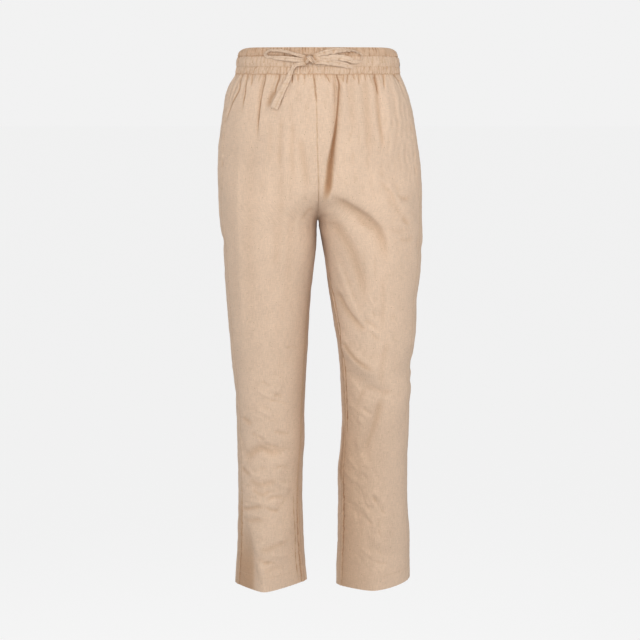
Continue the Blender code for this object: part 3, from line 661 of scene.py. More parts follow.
# %% Small crinkles and back tucks
# Small crinkles: face, centre (X, Z), spread, how many, steepness from 0 level to 1 upright.
CRINKLES = [
    ("front", (0.092, -0.820), (0.040, 0.100), 44, 0.70),
    ("front", (0.078, -0.650), (0.030, 0.070), 14, 0.7),
    ("front", (-0.092, -0.800), (0.044, 0.080), 26, 0.12),
    ("front", (-0.092, -0.690), (0.040, 0.060), 12, 0.20),
    ("front", (0.160, -0.290), (0.016, 0.040), 6, 0.3),
    ("front", (0.110, -0.480), (0.030, 0.060), 8, 0.6),
    ("front", (-0.090, -0.590), (0.040, 0.060), 8, 0.3),
    ("front", (0.105, -0.945), (0.030, 0.040), 9, 0.4),
    ("front", (-0.085, -0.930), (0.030, 0.040), 9, 0.3),
    ("back", (0.105, -0.560), (0.040, 0.050), 12, 0.2),
    ("back", (-0.090, -0.570), (0.040, 0.050), 12, 0.2),
    ("back", (0.080, -0.300), (0.050, 0.050), 8, 0.3),
    ("back", (-0.075, -0.290), (0.050, 0.050), 8, 0.3),
    ("back", (0.105, -0.830), (0.035, 0.080), 10, 0.4),
    ("back", (-0.090, -0.830), (0.035, 0.080), 10, 0.4),
]
SHADE_PER_METRE = 34


def crinkles(seed=7):
    """Short random creases, half of them raised, in the places named above."""
    draw = np.random.default_rng(seed)
    made = []
    for face, centre, spread, count, steep in CRINKLES:
        for _ in range(count):
            place = np.array(centre) + draw.normal(0, 0.5, 2) * spread
            way = draw.normal(steep * math.pi / 2, 0.35) * draw.choice([-1, 1])
            arm = np.array([math.cos(way), -abs(math.sin(way))]) * draw.uniform(0.008, 0.026)
            bend = np.array([arm[1], -arm[0]]) * draw.uniform(-0.3, 0.3)
            size = draw.uniform(0.0006, 0.0016) * draw.choice([-1, 1])
            # Painted shade in the sunken crinkles in front, none at the back.
            shade = 0.0 if face == "back" else max(0.0, -SHADE_PER_METRE * size)
            made.append((face, "soft", draw.uniform(0.0028, 0.0050), size, shade, 0.0,
                         [tuple(place - arm), tuple(place + bend), tuple(place + arm)]))
    return made


def back_tucks(seed=29):
    """Thin tucks under the band at the back, each with its own place, length and lean."""
    draw = np.random.default_rng(seed)
    made = []
    x = -0.132
    while x < 0.132:
        length = 0.008 + 0.050 * draw.random() ** 2.2
        lean = draw.normal(0.0, 0.08) + 0.25 * x / 0.13
        knots = [(x, -0.024), (x + lean * length * 0.4, -0.024 - length * 0.5),
                 (x + lean * length, -0.024 - length)]
        # Each tuck gets painted shade along its line.
        made.append(("back", "tuck", draw.uniform(0.0015, 0.0023),
                     -draw.uniform(0.0010, 0.0022), draw.uniform(0.25, 0.5), 0.0, knots))
        x += draw.uniform(0.006, 0.017)
    return made


print("crinkles:", len(crinkles()), "and tucks under the band at the back:", len(back_tucks()))


# %% Relief of the creases
EDGE_SHARE = 0.16
CREST_SHARE = 0.18
REACH_WIDTHS = 3.2
# How wide and deep a valley is at places along it.
VALLEY_PLACES = (0.0, 0.30, 0.50, 0.66, 0.85, 1.0)
VALLEY_WIDTHS = (0.24, 0.26, 0.55, 1.0, 1.15, 0.80)
VALLEY_DEPTHS = (0.55, 0.70, 0.95, 1.0, 0.85, 0.55)


def crease_zone(net, face):
    """The two coordinates in which a face's creases are drawn, and where they count."""
    points, angle = net["points"], np.radians(net["angle"])
    if face.endswith("side"):
        if not face.startswith(net["side"]):
            return None
        return points[..., 1], points[..., 2], clamp(np.cos(angle) * 3.0 - 0.6)
    if (face == "back") != net["back"]:
        return None
    return points[..., 0], points[..., 2], clamp(np.abs(np.sin(angle)) * 4.0)


def crease_form(kind, width, height, line, slope, gap, hand, place):
    """Height and painted shade of one crease at points that far from it and along it."""
    if kind == "soft":
        form = height * bell(gap / width)
        return form, line * bell(gap / (width * 0.8))
    if kind == "tuck":
        form = height * bell(gap / width)
        form -= 0.22 * height * bell((gap - 2.2 * width) / width)
        return form, line * bell(gap / (width * 0.75))
    if kind == "valley":
        wide = width * np.interp(place, VALLEY_PLACES, VALLEY_WIDTHS)
        deep = np.interp(place, VALLEY_PLACES, VALLEY_DEPTHS)
        return (height * deep * np.exp(-np.abs(gap / wide) ** 3),
                line * (0.45 + 0.55 * deep) * np.exp(-np.abs(gap / (wide * 0.85)) ** 3))
    low_side = gap * hand * (1.0 if kind == "lap+" else -1.0)
    edge = EDGE_SHARE * width + 0.0007
    below = 0.5 + 0.5 * np.tanh(low_side / edge)
    away = np.clip(low_side, 0, None) / width
    form = -height * np.exp(-away ** 1.5) * below
    form += CREST_SHARE * height * np.exp(np.clip(low_side, None, 0) / width) * (1 - below)
    past = np.clip(gap - 2.2 * width, 0, None) / (0.5 * width)
    dark = line * bell((low_side - edge * 0.5) / (edge * 1.1))
    return (form * bell(past),
            np.maximum(dark, slope * below * bell(away / 0.55)))


print("kinds of crease:", ", ".join(sorted({row[1] for row in HAND_CREASES})))


# %% All creases on their panels
def crease_relief(net):
    """Relief of the placed creases, and how much painted shade they give each point."""
    relief, shade = np.zeros(net["angle"].shape), np.zeros(net["angle"].shape)
    for face, kind, width, height, line, slope, knots in (
            HAND_CREASES + crinkles() + back_tucks()):
        zone = crease_zone(net, face)
        if zone is None:
            continue
        x, z, facing = zone
        reach = REACH_WIDTHS * width + 0.004
        low, high = np.min(knots, axis=0) - reach, np.max(knots, axis=0) + reach
        near = ((x > low[0]) & (x < high[0]) & (z > low[1]) & (z < high[1]) & (facing > 0))
        if not near.any():
            continue
        gap, hand, place = nearest_on_path(smooth_path(knots), x[near], z[near])
        fade = clamp((1.0 - place) * (6.0 if kind == "valley" else 2.6))
        if knots[0][1] < -0.04:
            fade = fade * clamp(place * 5.0 + 0.08)
        fade = eased(fade) * (facing * off_seams(net))[near]
        form, dark = crease_form(kind, width, height, line, slope, gap, hand, place)
        relief[near] += form * fade
        shade[near] = np.maximum(shade[near], dark * fade)
    return relief, shade


for net in nets.values():
    extra, net["shade"] = crease_relief(net)
    net["relief"] = net["relief"] + extra
print("deepest shade of a crease:", round(max(float(n["shade"].max()) for n in nets.values()), 2))

# %% [markdown]
# ## Puckers, seams and rumples
# Where the wide panels are gathered into the narrower band, dozens of small puckers run down
# from the seam. Along every seam the cloth dips into the stitching and the pressed seam
# allowance lifts it again on one side. Linen never lies quite flat, so all of it also gets
# faint rumples: waves of many directions and lengths added together, which look as random as
# the real thing and come out the same each time, because the random numbers are seeded.

# %% Puckers
PUCKER_PITCH = 0.0056
# Where a wave may start, in radians.
ANY_PHASE = (0, 6.28)


def pucker_relief(net, seed):
    """Small troughs that fan down from the waist seam, each of its own size, with painted shade.
    """
    draw = np.random.default_rng(seed)
    drop = PANEL_TOP - net["height"]
    rows = int(np.argmax(drop[:, 0] > 0.034))
    across, drop = net["across"][:rows], drop[:rows]
    relief, shade = np.zeros(net["angle"].shape), np.zeros(net["angle"].shape)
    place = PUCKER_PITCH * 0.4
    width_at_top = float(net["width"][0, 0])
    while place < width_at_top:
        length = draw.uniform(0.006, 0.017) + (draw.random() < 0.25) * draw.uniform(0.006, 0.014)
        half = draw.uniform(0.0009, 0.0016)
        depth = draw.uniform(0.0004, 0.0011)
        lean = draw.uniform(-0.16, 0.16)
        offset = (across / net["width"][:rows] * width_at_top - place - lean * drop) / half
        trough = bell(offset) * clamp(1.0 - drop / length)
        relief[:rows] -= depth * trough
        # Painted shade in each pucker, the deeper ones darker.
        shade[:rows] = np.maximum(shade[:rows], trough * depth / 0.0011 * 0.32)
        place += PUCKER_PITCH * draw.uniform(0.55, 1.5)
    swell = bell((drop - 0.007) / 0.006)
    relief[:rows] += 0.0004 * swell
    return relief, shade


print("a pucker about every", round(PUCKER_PITCH * 1000, 1), "mm of seam")

# %% Places of seams and hems
SEAM_DIP = 0.00055
SEAM_DIP_WIDTH = 0.0014
ALLOWANCE = 0.0085
ALLOWANCE_HEIGHT = 0.00045
HEM_STITCH = HEM + HEM_TURN_UP
# Heights below which painted shade lies beside the right back's side seam, on the right shin's
# outer side and on the left front's inner half, and between which it darkens the left back's
# inner edge.
SIDE_SHADE_TOP, SHIN_SHADE_TOP, THIGH_SHADE_TOP = -0.82, -0.87, -0.50
EDGE_SHADE_TOP, EDGE_SHADE_FOOT = -0.66, -0.81
# How deep each leg's seam lines dip and how much painted shade they get: height, inner seam, side
# seam.
SEAM_SHADES = {
    "right": np.array([(0.02, 0.62, 0.0), (-0.058, 0.60, 0.0), (-0.075, 0.28, 0.0),
                       (-0.24, 0.28, 0.20), (-0.29, 0.28, 0.20), (-0.34, 0.14, 0.20),
                       (-0.66, 0.14, 0.20), (-0.79, 0.34, 0.24), (-0.84, 0.70, 0.62),
                       (-1.01, 0.78, 0.70)]),
    "left": np.array([(0.02, 0.62, 0.0), (-0.058, 0.60, 0.0), (-0.075, 0.28, 0.0),
                      (-0.24, 0.28, 0.20), (-0.29, 0.28, 0.20), (-0.36, 0.24, 0.20),
                      (-0.44, 0.56, 0.20), (-0.64, 0.60, 0.16), (-0.69, 0.40, 0.10),
                      (-0.77, 0.60, 0.08), (-0.82, 1.00, 0.08), (-0.92, 0.80, 0.08),
                      (-1.01, 0.45, 0.10)]),
}
# The allowance pressed through beside an inner seam: from, to, distance, painted shade.
PRESSED = {"left": (-0.345, -0.700, 0.0080, 0.80), "right": (-0.800, -1.010, 0.0090, 0.50)}
# How much painted shade each panel gets beside its inner seam below the fork, and how far that
# reaches.
STRIPS = {("right", False): (0.15, 0.016), ("left", False): (0.11, 0.016),
          ("right", True): (0.26, 0.012), ("left", True): (0.26, 0.012)}
POCKET_TOP, POCKET_FOOT = -0.085, -0.235
print("hem stitched", round(HEM_STITCH - HEM, 4), "m above the edge")


# %% Relief along the seams
def seam_lines(net, pull, uneven, relief, shade):
    """Along both long edges: the dip into the stitching, pulls, the pressed allowance and painted
    shade.
    """
    shades = SEAM_SHADES[net["side"]][::-1]
    for column, gap in ((1, net["across"]), (2, net["width"] - net["across"])):
        dark = np.interp(net["height"], shades[:, 0], shades[:, column])
        relief = relief - SEAM_DIP * dark * bell(gap / SEAM_DIP_WIDTH)
        # Painted shade along the seam's dip, broken unevenly.
        shade = np.maximum(shade, dark * uneven * bell(gap / (0.0009 + 0.0012 * dark)))
        free = clamp(gap / 0.002)
        relief += (0.00014 + 0.0009 * dark) * pull * free * bell((gap - 0.004) / 0.004)
        if net["back"]:
            lift_here = 0.35 + 0.65 * (dark > 0)
            rise = free * 0.5 * (1 - np.tanh((gap - ALLOWANCE) / 0.0008))
            relief += ALLOWANCE_HEIGHT * rise * lift_here
            edge = bell((gap - ALLOWANCE - 0.0006) / 0.0010)
            relief -= 0.00025 * edge * lift_here
            # Painted shade at the edge of the allowance.
            shade = np.maximum(shade, 0.55 * dark * edge)
    return relief, shade


def between_legs(net, pull, uneven, phase, relief, shade):
    """Painted shade between the legs, and the inner allowance pressed through on the fronts."""
    height, from_inner = net["height"], net["across"]
    below_fork = clamp((CROTCH - 0.06 - height) / 0.14)
    strip, spread = STRIPS[net["side"], net["back"]]
    # Painted shade beside the inseam, where the legs shade each other.
    shade = np.maximum(shade, strip * below_fork * np.exp(-from_inner / spread))
    if not net["back"]:
        upper, lower, apart, dark = PRESSED[net["side"]]
        here = clamp((upper - height) / 0.05) * clamp((height - lower) / 0.03)
        wander = 0.0016 * np.sin(height / 0.019 + phase[0]) + 0.0005 * pull
        line = bell((from_inner - apart - wander) / 0.0015)
        # Painted shade along the dip of the pressed allowance.
        shade = np.maximum(shade, dark * here * uneven * line)
        relief = relief - 0.0005 * here * line
        relief += 0.0005 * here * pull * bell((from_inner - apart - 0.004) / 0.004)
    if net["side"] == "left" and net["back"]:
        # Painted shade along the left back's inner edge between these heights.
        edge_shade_zone = clamp((EDGE_SHADE_TOP - height) / 0.03) * clamp((height - EDGE_SHADE_FOOT) / 0.03)
        shade = np.maximum(shade, 0.42 * edge_shade_zone * bell((from_inner - 0.008) / 0.008))
    elif net["side"] == "left":
        # Painted shade on the left front's inner half, growing downwards from mid-thigh.
        turned = clamp((THIGH_SHADE_TOP - height) / 0.25)
        shade = shade + 0.16 * turned * bell(from_inner / 0.070)
    return relief, shade


print("shade between the legs:", {key: strip for key, (strip, _) in STRIPS.items()})


# %% Relief at the pocket mouths, the top and the hem
def side_edge(net, phase, relief, shade):
    """The pocket mouth in the side seam with painted shade in its slit, and painted shade beside
    that seam at the shins.
    """
    height, from_side = net["height"], net["width"] - net["across"]
    mouth = clamp((POCKET_TOP - height) / 0.006) * clamp((height - POCKET_FOOT) / 0.006)
    if net["back"]:
        # Painted shade in the pocket's slit.
        shade = np.maximum(shade, 0.50 * mouth * bell(from_side / 0.0012))
        relief = relief - 0.0008 * mouth * bell(from_side / 0.004)
    else:
        relief = relief + 0.0008 * mouth * bell(from_side / 0.003)
        slow = np.sin(height / 0.0041 + phase[1]) + 0.7 * np.sin(height / 0.0067 + phase[2])
        relief += 0.0011 * slow * mouth * bell((from_side - 0.005) / 0.004)
    if net["side"] == "right" and net["back"]:
        # Painted shade beside the right back's side seam, low on the leg.
        low = clamp((SIDE_SHADE_TOP - height) / 0.03)
        shade = np.maximum(shade, 0.30 * low * np.exp(-from_side / 0.014))
    elif net["side"] == "right":
        # Painted shade on the right shin's outer side, widening towards the hem.
        low = clamp((SHIN_SHADE_TOP - height) / 0.09)
        turned = 0.5 * (1 - np.tanh((from_side - 0.030 - 0.12 * (SHIN_SHADE_TOP - height)) / 0.006))
        shade = shade + 0.34 * low * turned
    return relief, shade


def seam_relief(net, seed):
    """Dips at the seams, the pressed allowances, the sewn top edge and the hem, with their painted
    shade.
    """
    height = net["height"]
    phase = np.random.default_rng(seed).uniform(*ANY_PHASE, 4)
    pull = (0.5 * np.sin(height / 0.0021 + phase[0]) + 0.5 * np.sin(height / 0.0034 + phase[1])
            + 0.6 * np.sin(height / 0.0013 + phase[2]))
    uneven = 0.72 + 0.28 * np.sin(height / 0.0047 + phase[3] + 0.8 * pull)
    marks = seam_lines(net, pull, uneven, np.zeros(height.shape), np.zeros(height.shape))
    marks = between_legs(net, pull, uneven, phase, *marks)
    relief, shade = side_edge(net, phase, *marks)
    top = PANEL_TOP - height
    stitch = bell((height - HEM_STITCH) / 0.0016)
    relief = relief - 0.0005 * bell(top / 0.0016) - 0.00018 * stitch
    # Painted shadow under the band along the sewn top edge.
    shade = np.maximum(shade, 0.40 * bell(top / 0.0013))
    # Painted shade along the hem's stitching.
    return relief, np.maximum(shade, 0.05 * stitch * uneven)


deepest = min(float(seam_relief(net, 1)[0].min()) for net in nets.values())
print("deepest dip at a seam:", round(deepest * 1000, 2), "mm")


# %% Rumples
def box_mean(values, reach_rows, reach_columns):
    """Mean of each point's neighbours on a net."""
    for axis, reach in ((0, reach_rows), (1, reach_columns)):
        index = np.arange(values.shape[axis])
        values = sum(values.take(np.clip(index + k, 0, index[-1]), axis)
                     for k in range(-reach, reach + 1)) / (2 * reach + 1)
    return values


def rumples(u, v, wavelengths, size, seed, lean=0.0):
    """Waves of many directions added up: random hills about `size` high."""
    draw = np.random.default_rng(seed)
    total = np.zeros(np.broadcast(u, v).shape)
    waves = 18
    for _ in range(waves):
        length = math.exp(draw.uniform(math.log(wavelengths[0]), math.log(wavelengths[1])))
        way = draw.uniform(0, math.pi) if draw.random() > lean else draw.normal(0.0, 0.22)
        k = 2 * math.pi / length
        total += np.sin(k * (u * math.cos(way) + v * math.sin(way)) + draw.uniform(*ANY_PHASE))
    return total * size / math.sqrt(waves / 2)


SEEDS = {("right", False): 11, ("left", False): 23, ("right", True): 37, ("left", True): 51}
# Rumples of the panels: shortest and longest wave, height, whether they hang from the band.
RUMPLES = [((0.070, 0.150), 0.00035, False), ((0.022, 0.055), 0.00018, False),
           ((0.010, 0.020), 0.00008, False), ((0.016, 0.040), 0.00050, True)]
DEEP_HOLLOW = 0.0016
for key, net in nets.items():
    seed = SEEDS[key]
    for relief, shade in (pucker_relief(net, seed), seam_relief(net, seed + 1)):
        net["relief"] = net["relief"] + relief
        net["shade"] = np.maximum(net["shade"], shade)
    u, v = net["points"][..., 0] + 0.7 * net["points"][..., 1], net["points"][..., 2]
    edge = clamp(np.minimum(net["across"], net["width"] - net["across"]) / 0.02)
    calm = edge * np.clip((PANEL_TOP - v) / 0.02, 0.15, 1.0) * np.clip((v - HEM) / 0.03, 0.3, 1.0)
    drape = clamp(1.0 - (PANEL_TOP - v) / 0.26)
    net["relief"] = net["relief"] + calm * sum(
        rumples(u, v, waves, size, seed + 2 + i, lean=float(hung)) * (drape if hung else 1.0)
        for i, (waves, size, hung) in enumerate(RUMPLES))
    # Painted shade in hollows: the further a point lies below its neighbours' mean, the darker.
    hollow = box_mean(net["relief"], 4, 9) - net["relief"]
    most = 0.03 if net["back"] else 0.12
    net["shade"] = np.maximum(net["shade"], most * clamp(hollow / DEEP_HOLLOW))
    tucked = bell((PANEL_TOP - net["height"]) / 0.0030)
    net["relief"] += tucked * (np.clip(net["relief"], -0.0016, 0.0006) - net["relief"])
    print(key, "relief from", round(float(net["relief"].min()) * 1000, 2), "to",
          round(float(net["relief"].max()) * 1000, 2), "mm")

# %% [markdown]
# ## From net to cloth
# A leg panel is a thin shell of two grids that share their border: a fine one outside, which
# carries every crease, and one inside with a quarter of the points each way, because nobody
# looks for folds in there. The inside lies under the lowest point near it, so the two never
# cross, and twice as deep over the hem, where the cloth is turned up. The bags start from a
# grid primitive, moved to its place and thickened by Solidify; the waistband is such a grid
# whose rows run up the inside, over the rolled top and down the outside. The flat
# sizes stay behind in the UV map, so the weave keeps its true scale.

# %% Steps on a piece
CUT_SCALE = 1.2
SMOOTH_BELOW = math.radians(60)


def deselect_all():
    """Nothing selected, in object mode."""
    if bpy.context.mode != "OBJECT":
        bpy.ops.object.mode_set(mode="OBJECT")
    bpy.ops.object.select_all(action="DESELECT")


def in_edit_mode(*steps):
    """Those steps on the whole mesh of the active piece."""
    bpy.ops.object.mode_set(mode="EDIT")
    bpy.ops.mesh.select_all(action="SELECT")
    for step, settings in steps:
        step(**settings)
    bpy.ops.object.mode_set(mode="OBJECT")


OUTWARDS = (bpy.ops.mesh.normals_make_consistent, {"inside": False})


def choose(piece):
    """Only that piece selected, and active."""
    deselect_all()
    piece.select_set(True)
    bpy.context.view_layer.objects.active = piece


def placed(name, mesh):
    """The mesh as a piece in the scene, selected, with its faces turned outwards."""
    piece = bpy.data.objects.new(name, mesh)
    bpy.context.collection.objects.link(piece)
    choose(piece)
    in_edit_mode(OUTWARDS)
    return piece


def finish_cloth(piece, slot, *replaced):
    """Smooth shading, the body it rides on and the solid it stands for; the slot is not used."""
    choose(piece)
    bpy.ops.object.shade_smooth_by_angle(angle=SMOOTH_BELOW)
    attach(piece, "root")
    if replaced:
        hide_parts(*replaced)


print("faces are turned outwards by", OUTWARDS[0].idname())


# %% Cut and creases of a piece
def set_cut(mesh, flat):
    """The flat place of every point, in metres, in the UV map "cut"."""
    corner = np.zeros(len(mesh.loops), int)
    mesh.loops.foreach_get("vertex_index", corner)
    layer = mesh.uv_layers.active or mesh.uv_layers.new(name="cut")
    layer.name = "cut"
    layer.data.foreach_set("uv", (flat[corner] / CUT_SCALE + 0.5).ravel())


def set_painted_shade(mesh, shade):
    """How much painted shade every point gets, in the attribute "crease"."""
    depth = mesh.attributes.new("crease", "FLOAT", "POINT")
    depth.data.foreach_set("value", shade)


print("the UV map spans", CUT_SCALE, "m of cloth")


# %% A grid moved to its place
def moved_grid(name, points, cut_u, cut_v, shade):
    """A grid primitive whose points are moved; flat sizes go to its UV map, painted shade to an
    attribute.
    """
    rows, columns = points.shape[:2]
    deselect_all()
    bpy.ops.mesh.primitive_grid_add(
        x_subdivisions=columns - 1, y_subdivisions=rows - 1, size=1.0, calc_uvs=True)
    piece = bpy.context.active_object
    piece.name = piece.data.name = name
    mesh = piece.data
    flat = np.zeros(len(mesh.vertices) * 3)
    mesh.vertices.foreach_get("co", flat)
    flat = flat.reshape(-1, 3)
    column = np.rint((flat[:, 0] + 0.5) * (columns - 1)).astype(int)
    row = np.rint((0.5 - flat[:, 1]) * (rows - 1)).astype(int)
    mesh.vertices.foreach_set("co", points[row, column].ravel())
    set_cut(mesh, np.stack([cut_u[row, column], cut_v[row, column]], axis=1))
    set_painted_shade(mesh, clamp(shade)[row, column])
    mesh.update()
    return piece


def turn_outwards(piece, outwards):
    """Flip the faces of an open sheet if the middle one points inwards."""
    mesh = piece.data
    middle = len(mesh.polygons) // 2
    if mesh.polygons[middle].normal.dot(Vector(outwards)) < 0:
        in_edit_mode((bpy.ops.mesh.flip_normals, {}))


def give_wall(piece, thickness):
    """Solidify inwards, and apply it."""
    wall = piece.modifiers.new("wall", "SOLIDIFY")
    wall.thickness = thickness
    wall.offset = -1.0
    wall.use_even_offset = False
    bpy.ops.object.modifier_apply(modifier="wall")


print("a grid starts flat, and Solidify gives it its wall")


# %% A shell with a fine outside and a coarse inside
LINING_STEP = 4
WALL = 0.0012
HEM_WALL = 0.0024
# Painted shade on the inside net of each leg panel.
INSIDE_SHADE = 0.05


def lowest_near(values, reach):
    """Lowest of each point's neighbours on a net."""
    for axis in (0, 1):
        index = np.arange(values.shape[axis])
        values = np.min([values.take(np.clip(index + k, 0, index[-1]), axis)
                         for k in range(-reach, reach + 1)], axis=0)
    return values


def grid_faces(index):
    """Square faces between the points of a grid."""
    corners = (index[:-1, :-1], index[1:, :-1], index[1:, 1:], index[:-1, 1:])
    return np.stack(corners, axis=-1).reshape(-1, 4).tolist()


def border(index):
    """The outermost points of a grid, in order, once round."""
    return np.concatenate([index[0, :-1], index[:-1, -1], index[-1, :0:-1], index[:0:-1, 0]])


def shell(name, outside, inside, cut_u, cut_v, shade):
    """A closed sheet: a fine net outside, a coarser one inside and a rim between them."""
    outer = np.arange(outside.shape[0] * outside.shape[1]).reshape(outside.shape[:2])
    inner = outer.size + np.arange(inside.shape[0] * inside.shape[1]).reshape(inside.shape[:2])
    faces = grid_faces(outer) + grid_faces(inner)
    fine, coarse = border(outer).tolist(), border(inner).tolist()
    fine.append(fine[0])
    coarse.append(coarse[0])
    for k, (a, b) in enumerate(zip(coarse, coarse[1:])):
        p, q, r, s, t = fine[k * LINING_STEP:(k + 1) * LINING_STEP + 1]
        faces += [(a, p, q), (a, q, r), (a, r, b), (b, r, s), (b, s, t)]
    mesh = bpy.data.meshes.new(name)
    mesh.from_pydata(np.concatenate([outside.reshape(-1, 3), inside.reshape(-1, 3)]), [], faces)
    step = (slice(None, None, LINING_STEP),) * 2
    flat = [np.concatenate([grid.ravel(), grid[step].ravel()]) for grid in
            (np.broadcast_to(cut_u, outer.shape), np.broadcast_to(cut_v, outer.shape))]
    set_cut(mesh, np.stack(flat, axis=1))
    set_painted_shade(mesh, np.concatenate([clamp(shade).ravel(), np.full(inner.size, INSIDE_SHADE)]))
    return placed(name, mesh)


print("walls of", WALL, "m, and", HEM_WALL, "m at the hem")


# %% Leg panels
# How far the outside of the cloth lies under that of the solids.
INSET = 0.0014
# The wearer's left leg swings out a little where the legs part.
PARTING, PARTING_HEIGHT, PARTING_SPAN = 0.0040, -0.336, 0.040
# The cut of each panel as a maker would lay it out goes to its UV map.
panels = {}
for (side, back), net in nets.items():
    face = "back" if back else "front"
    parting = bell((net["height"] - PARTING_HEIGHT) / PARTING_SPAN)
    parting = parting * bell(net["across"] / 0.045) * (side == "left")
    parting = parting * clamp((CROTCH + 0.004 - net["height"]) / 0.03)
    lift = CLOTH / 2 - INSET + net["relief"] - PARTING * parting
    net["surface"] = net["points"] + net["normal"] * lift[..., None]
    under_band = bell((PANEL_TOP - net["height"]) / 0.0016)
    net["surface"][..., 2] += 0.0028 * under_band
    above = clamp((net["height"][:, :1] - CROTCH) / 0.004)
    apart = net["points"][:, :1, 0] - net["surface"][:, :1, 0] - SIDE_SIGN[side] * SEAM_GAP / 2
    net["surface"][..., 0] += apart * above * bell(net["across"] / 0.012)
    thick = np.where(net["height"] < HEM_STITCH, HEM_WALL, WALL)
    thick = thick + net["relief"] - lowest_near(net["relief"], LINING_STEP)
    net["inside"] = net["surface"] - net["normal"] * thick[..., None]
    piece = shell(f"cloth_{face}_{side}", net["surface"],
                  net["inside"][::LINING_STEP, ::LINING_STEP],
                  net["across"] - net["width"] / 2, net["height"] + 0.5, net["shade"])
    finish_cloth(piece, "linen", f"{face}_{side}")
    panels[face, side] = piece

# %% [markdown]
# ## Waistband
# The band is one doubled strip with three channels: two rows of stitching squeeze the cloth
# over the elastic, and the cloth between them shrinks into small upright ruches. They are
# waves round the waist whose spacing wanders, strongest in the narrow top channel. The tie
# runs in the middle channel, which is wider and calmer.

# %% Sizes of the band
BAND_WALL = 0.0032
CORNER_DIP = 0.0055
BAND_STITCHES = (0.0100, -0.0098)
# Painted shadow of the bow's left loop on the band: X and half width, Z and half height.
PAINTED_LOOP_SHADOW = (0.057, 0.011, 0.0165, 0.0045)
# Height, how far the cloth stands out from the inner wall, share of the ruching.
BAND_ROWS = np.array([
    (BAND_TOP, 0.0016, 0.7), (0.0215, 0.0025, 1.0), (0.0172, 0.0031, 1.0),
    (0.0118, 0.0028, 1.0), (0.0100, 0.0021, 1.0), (0.0082, 0.0029, 0.8), (0.0002, 0.0036, 0.6),
    (-0.0080, 0.0031, 0.7), (-0.0098, 0.0025, 0.8), (-0.0116, 0.0031, 0.9),
    (-0.0162, 0.0036, 1.0), (-0.0210, 0.0030, 0.9), (BAND_FOOT, 0.0018, 0.7)])
BAND_COLUMNS = 1100
# Ruches: spacing, height at the top, middle and lower channel.
RUCHES = [(0.0032, 0.00040, 0.00010, 0.00018), (0.0051, 0.00022, 0.00014, 0.00034),
          (0.0083, 0.00014, 0.00030, 0.00020), (0.0170, 0.00022, 0.00026, 0.00025)]
# Pleats caught in the stitching: channel's top and foot, how many, depth, lean, painted shade.
PLEATS = [(0.0235, 0.0092, 210, 0.00085, 0.10, 0.85),
          (0.0100, -0.0020, 110, 0.00050, 0.12, 0.40),
          (-0.0030, -0.0100, 110, 0.00045, 0.12, 0.36),
          (-0.0096, -0.0232, 170, 0.00070, 0.34, 0.52)]
# How much longer the band's flat length is than the waist.
BAND_EASE = 1.25
print("pleats in the stitching:", sum(count for _, _, count, *_ in PLEATS))


# %% Round the waist
def ring_point(turn, height):
    """Point of the form at a turn right round: 0 left, 90 front, 180 right."""
    turn, height = np.broadcast_arrays(turn % 360.0, height)
    on_right = ((turn > 90.0) & (turn <= 270.0))[..., None]
    return np.where(on_right, form_point("right", (180.0 - turn) % 360.0, height),
                    form_point("left", turn, height))


def ring_out(turn, height):
    """Level unit vector that points out of the garment."""
    along = ring_point(turn + 0.1, height) - ring_point(turn - 0.1, height)
    out = np.stack([along[..., 1], -along[..., 0], np.zeros(along.shape[:-1])], axis=-1)
    out = unit(out)
    flip = np.sum(out * ring_point(turn, height), axis=-1, keepdims=True) < 0
    return np.where(flip, -out, out)


def band_surface(turn, height, stand_out):
    """Points of the band, with the top edge dipping down at both sides."""
    point = ring_point(turn, height) + ring_out(turn, height) * (stand_out - BAND_WALL)[..., None]
    share = clamp(height / BAND_TOP)
    drop = CORNER_DIP * share * np.abs(np.cos(np.radians(turn))) ** 16
    point[..., 2] -= drop
    return point


def even_turns(count):
    """Turns that divide the waist into even lengths, and the waist's length."""
    samples = np.linspace(0.0, 360.0, 1441)
    ring = ring_point(samples, np.zeros(1441))
    run = run_along(ring)
    return np.interp(np.arange(count + 1) * run[-1] / count, run, samples), run[-1]


turns, waist = even_turns(BAND_COLUMNS)
print("round the waist:", round(float(waist), 3), "m")


# %% Ruches and pleats
def ruching(run, waist, height, seed=71):
    """Irregular upright waves round the band; their troughs get painted shade later."""
    draw = np.random.default_rng(seed)
    up = clamp((height - 0.0085) / 0.003)
    low = clamp((-0.0083 - height) / 0.003)
    total = np.zeros(np.broadcast(run, height).shape)
    for pitch, top, middle, lower in RUCHES:
        for _ in range(3):
            count = round(waist / (pitch * draw.uniform(0.82, 1.22)))
            lean = draw.normal(0.0, 0.25)
            wander = sum(draw.uniform(0.2, 0.9) * np.sin(2 * math.pi * k * run / waist
                                                         + draw.uniform(*ANY_PHASE))
                         for k in draw.integers(2, 23, 5))
            sway = draw.uniform(0.2, 0.8) * np.sin(height / 0.006 + draw.uniform(*ANY_PHASE))
            turn = 2 * math.pi * count * (run / waist) + 1.6 * wander + sway
            turn = turn + lean * height / pitch * 2 * math.pi
            swell = 0.55 + 0.45 * np.sin(2 * math.pi * draw.integers(5, 31) * run / waist
                                         + height / 0.009 + draw.uniform(*ANY_PHASE))
            share = middle + (top - middle) * up + (lower - middle) * low
            total += share * swell * np.sin(turn)
    return total


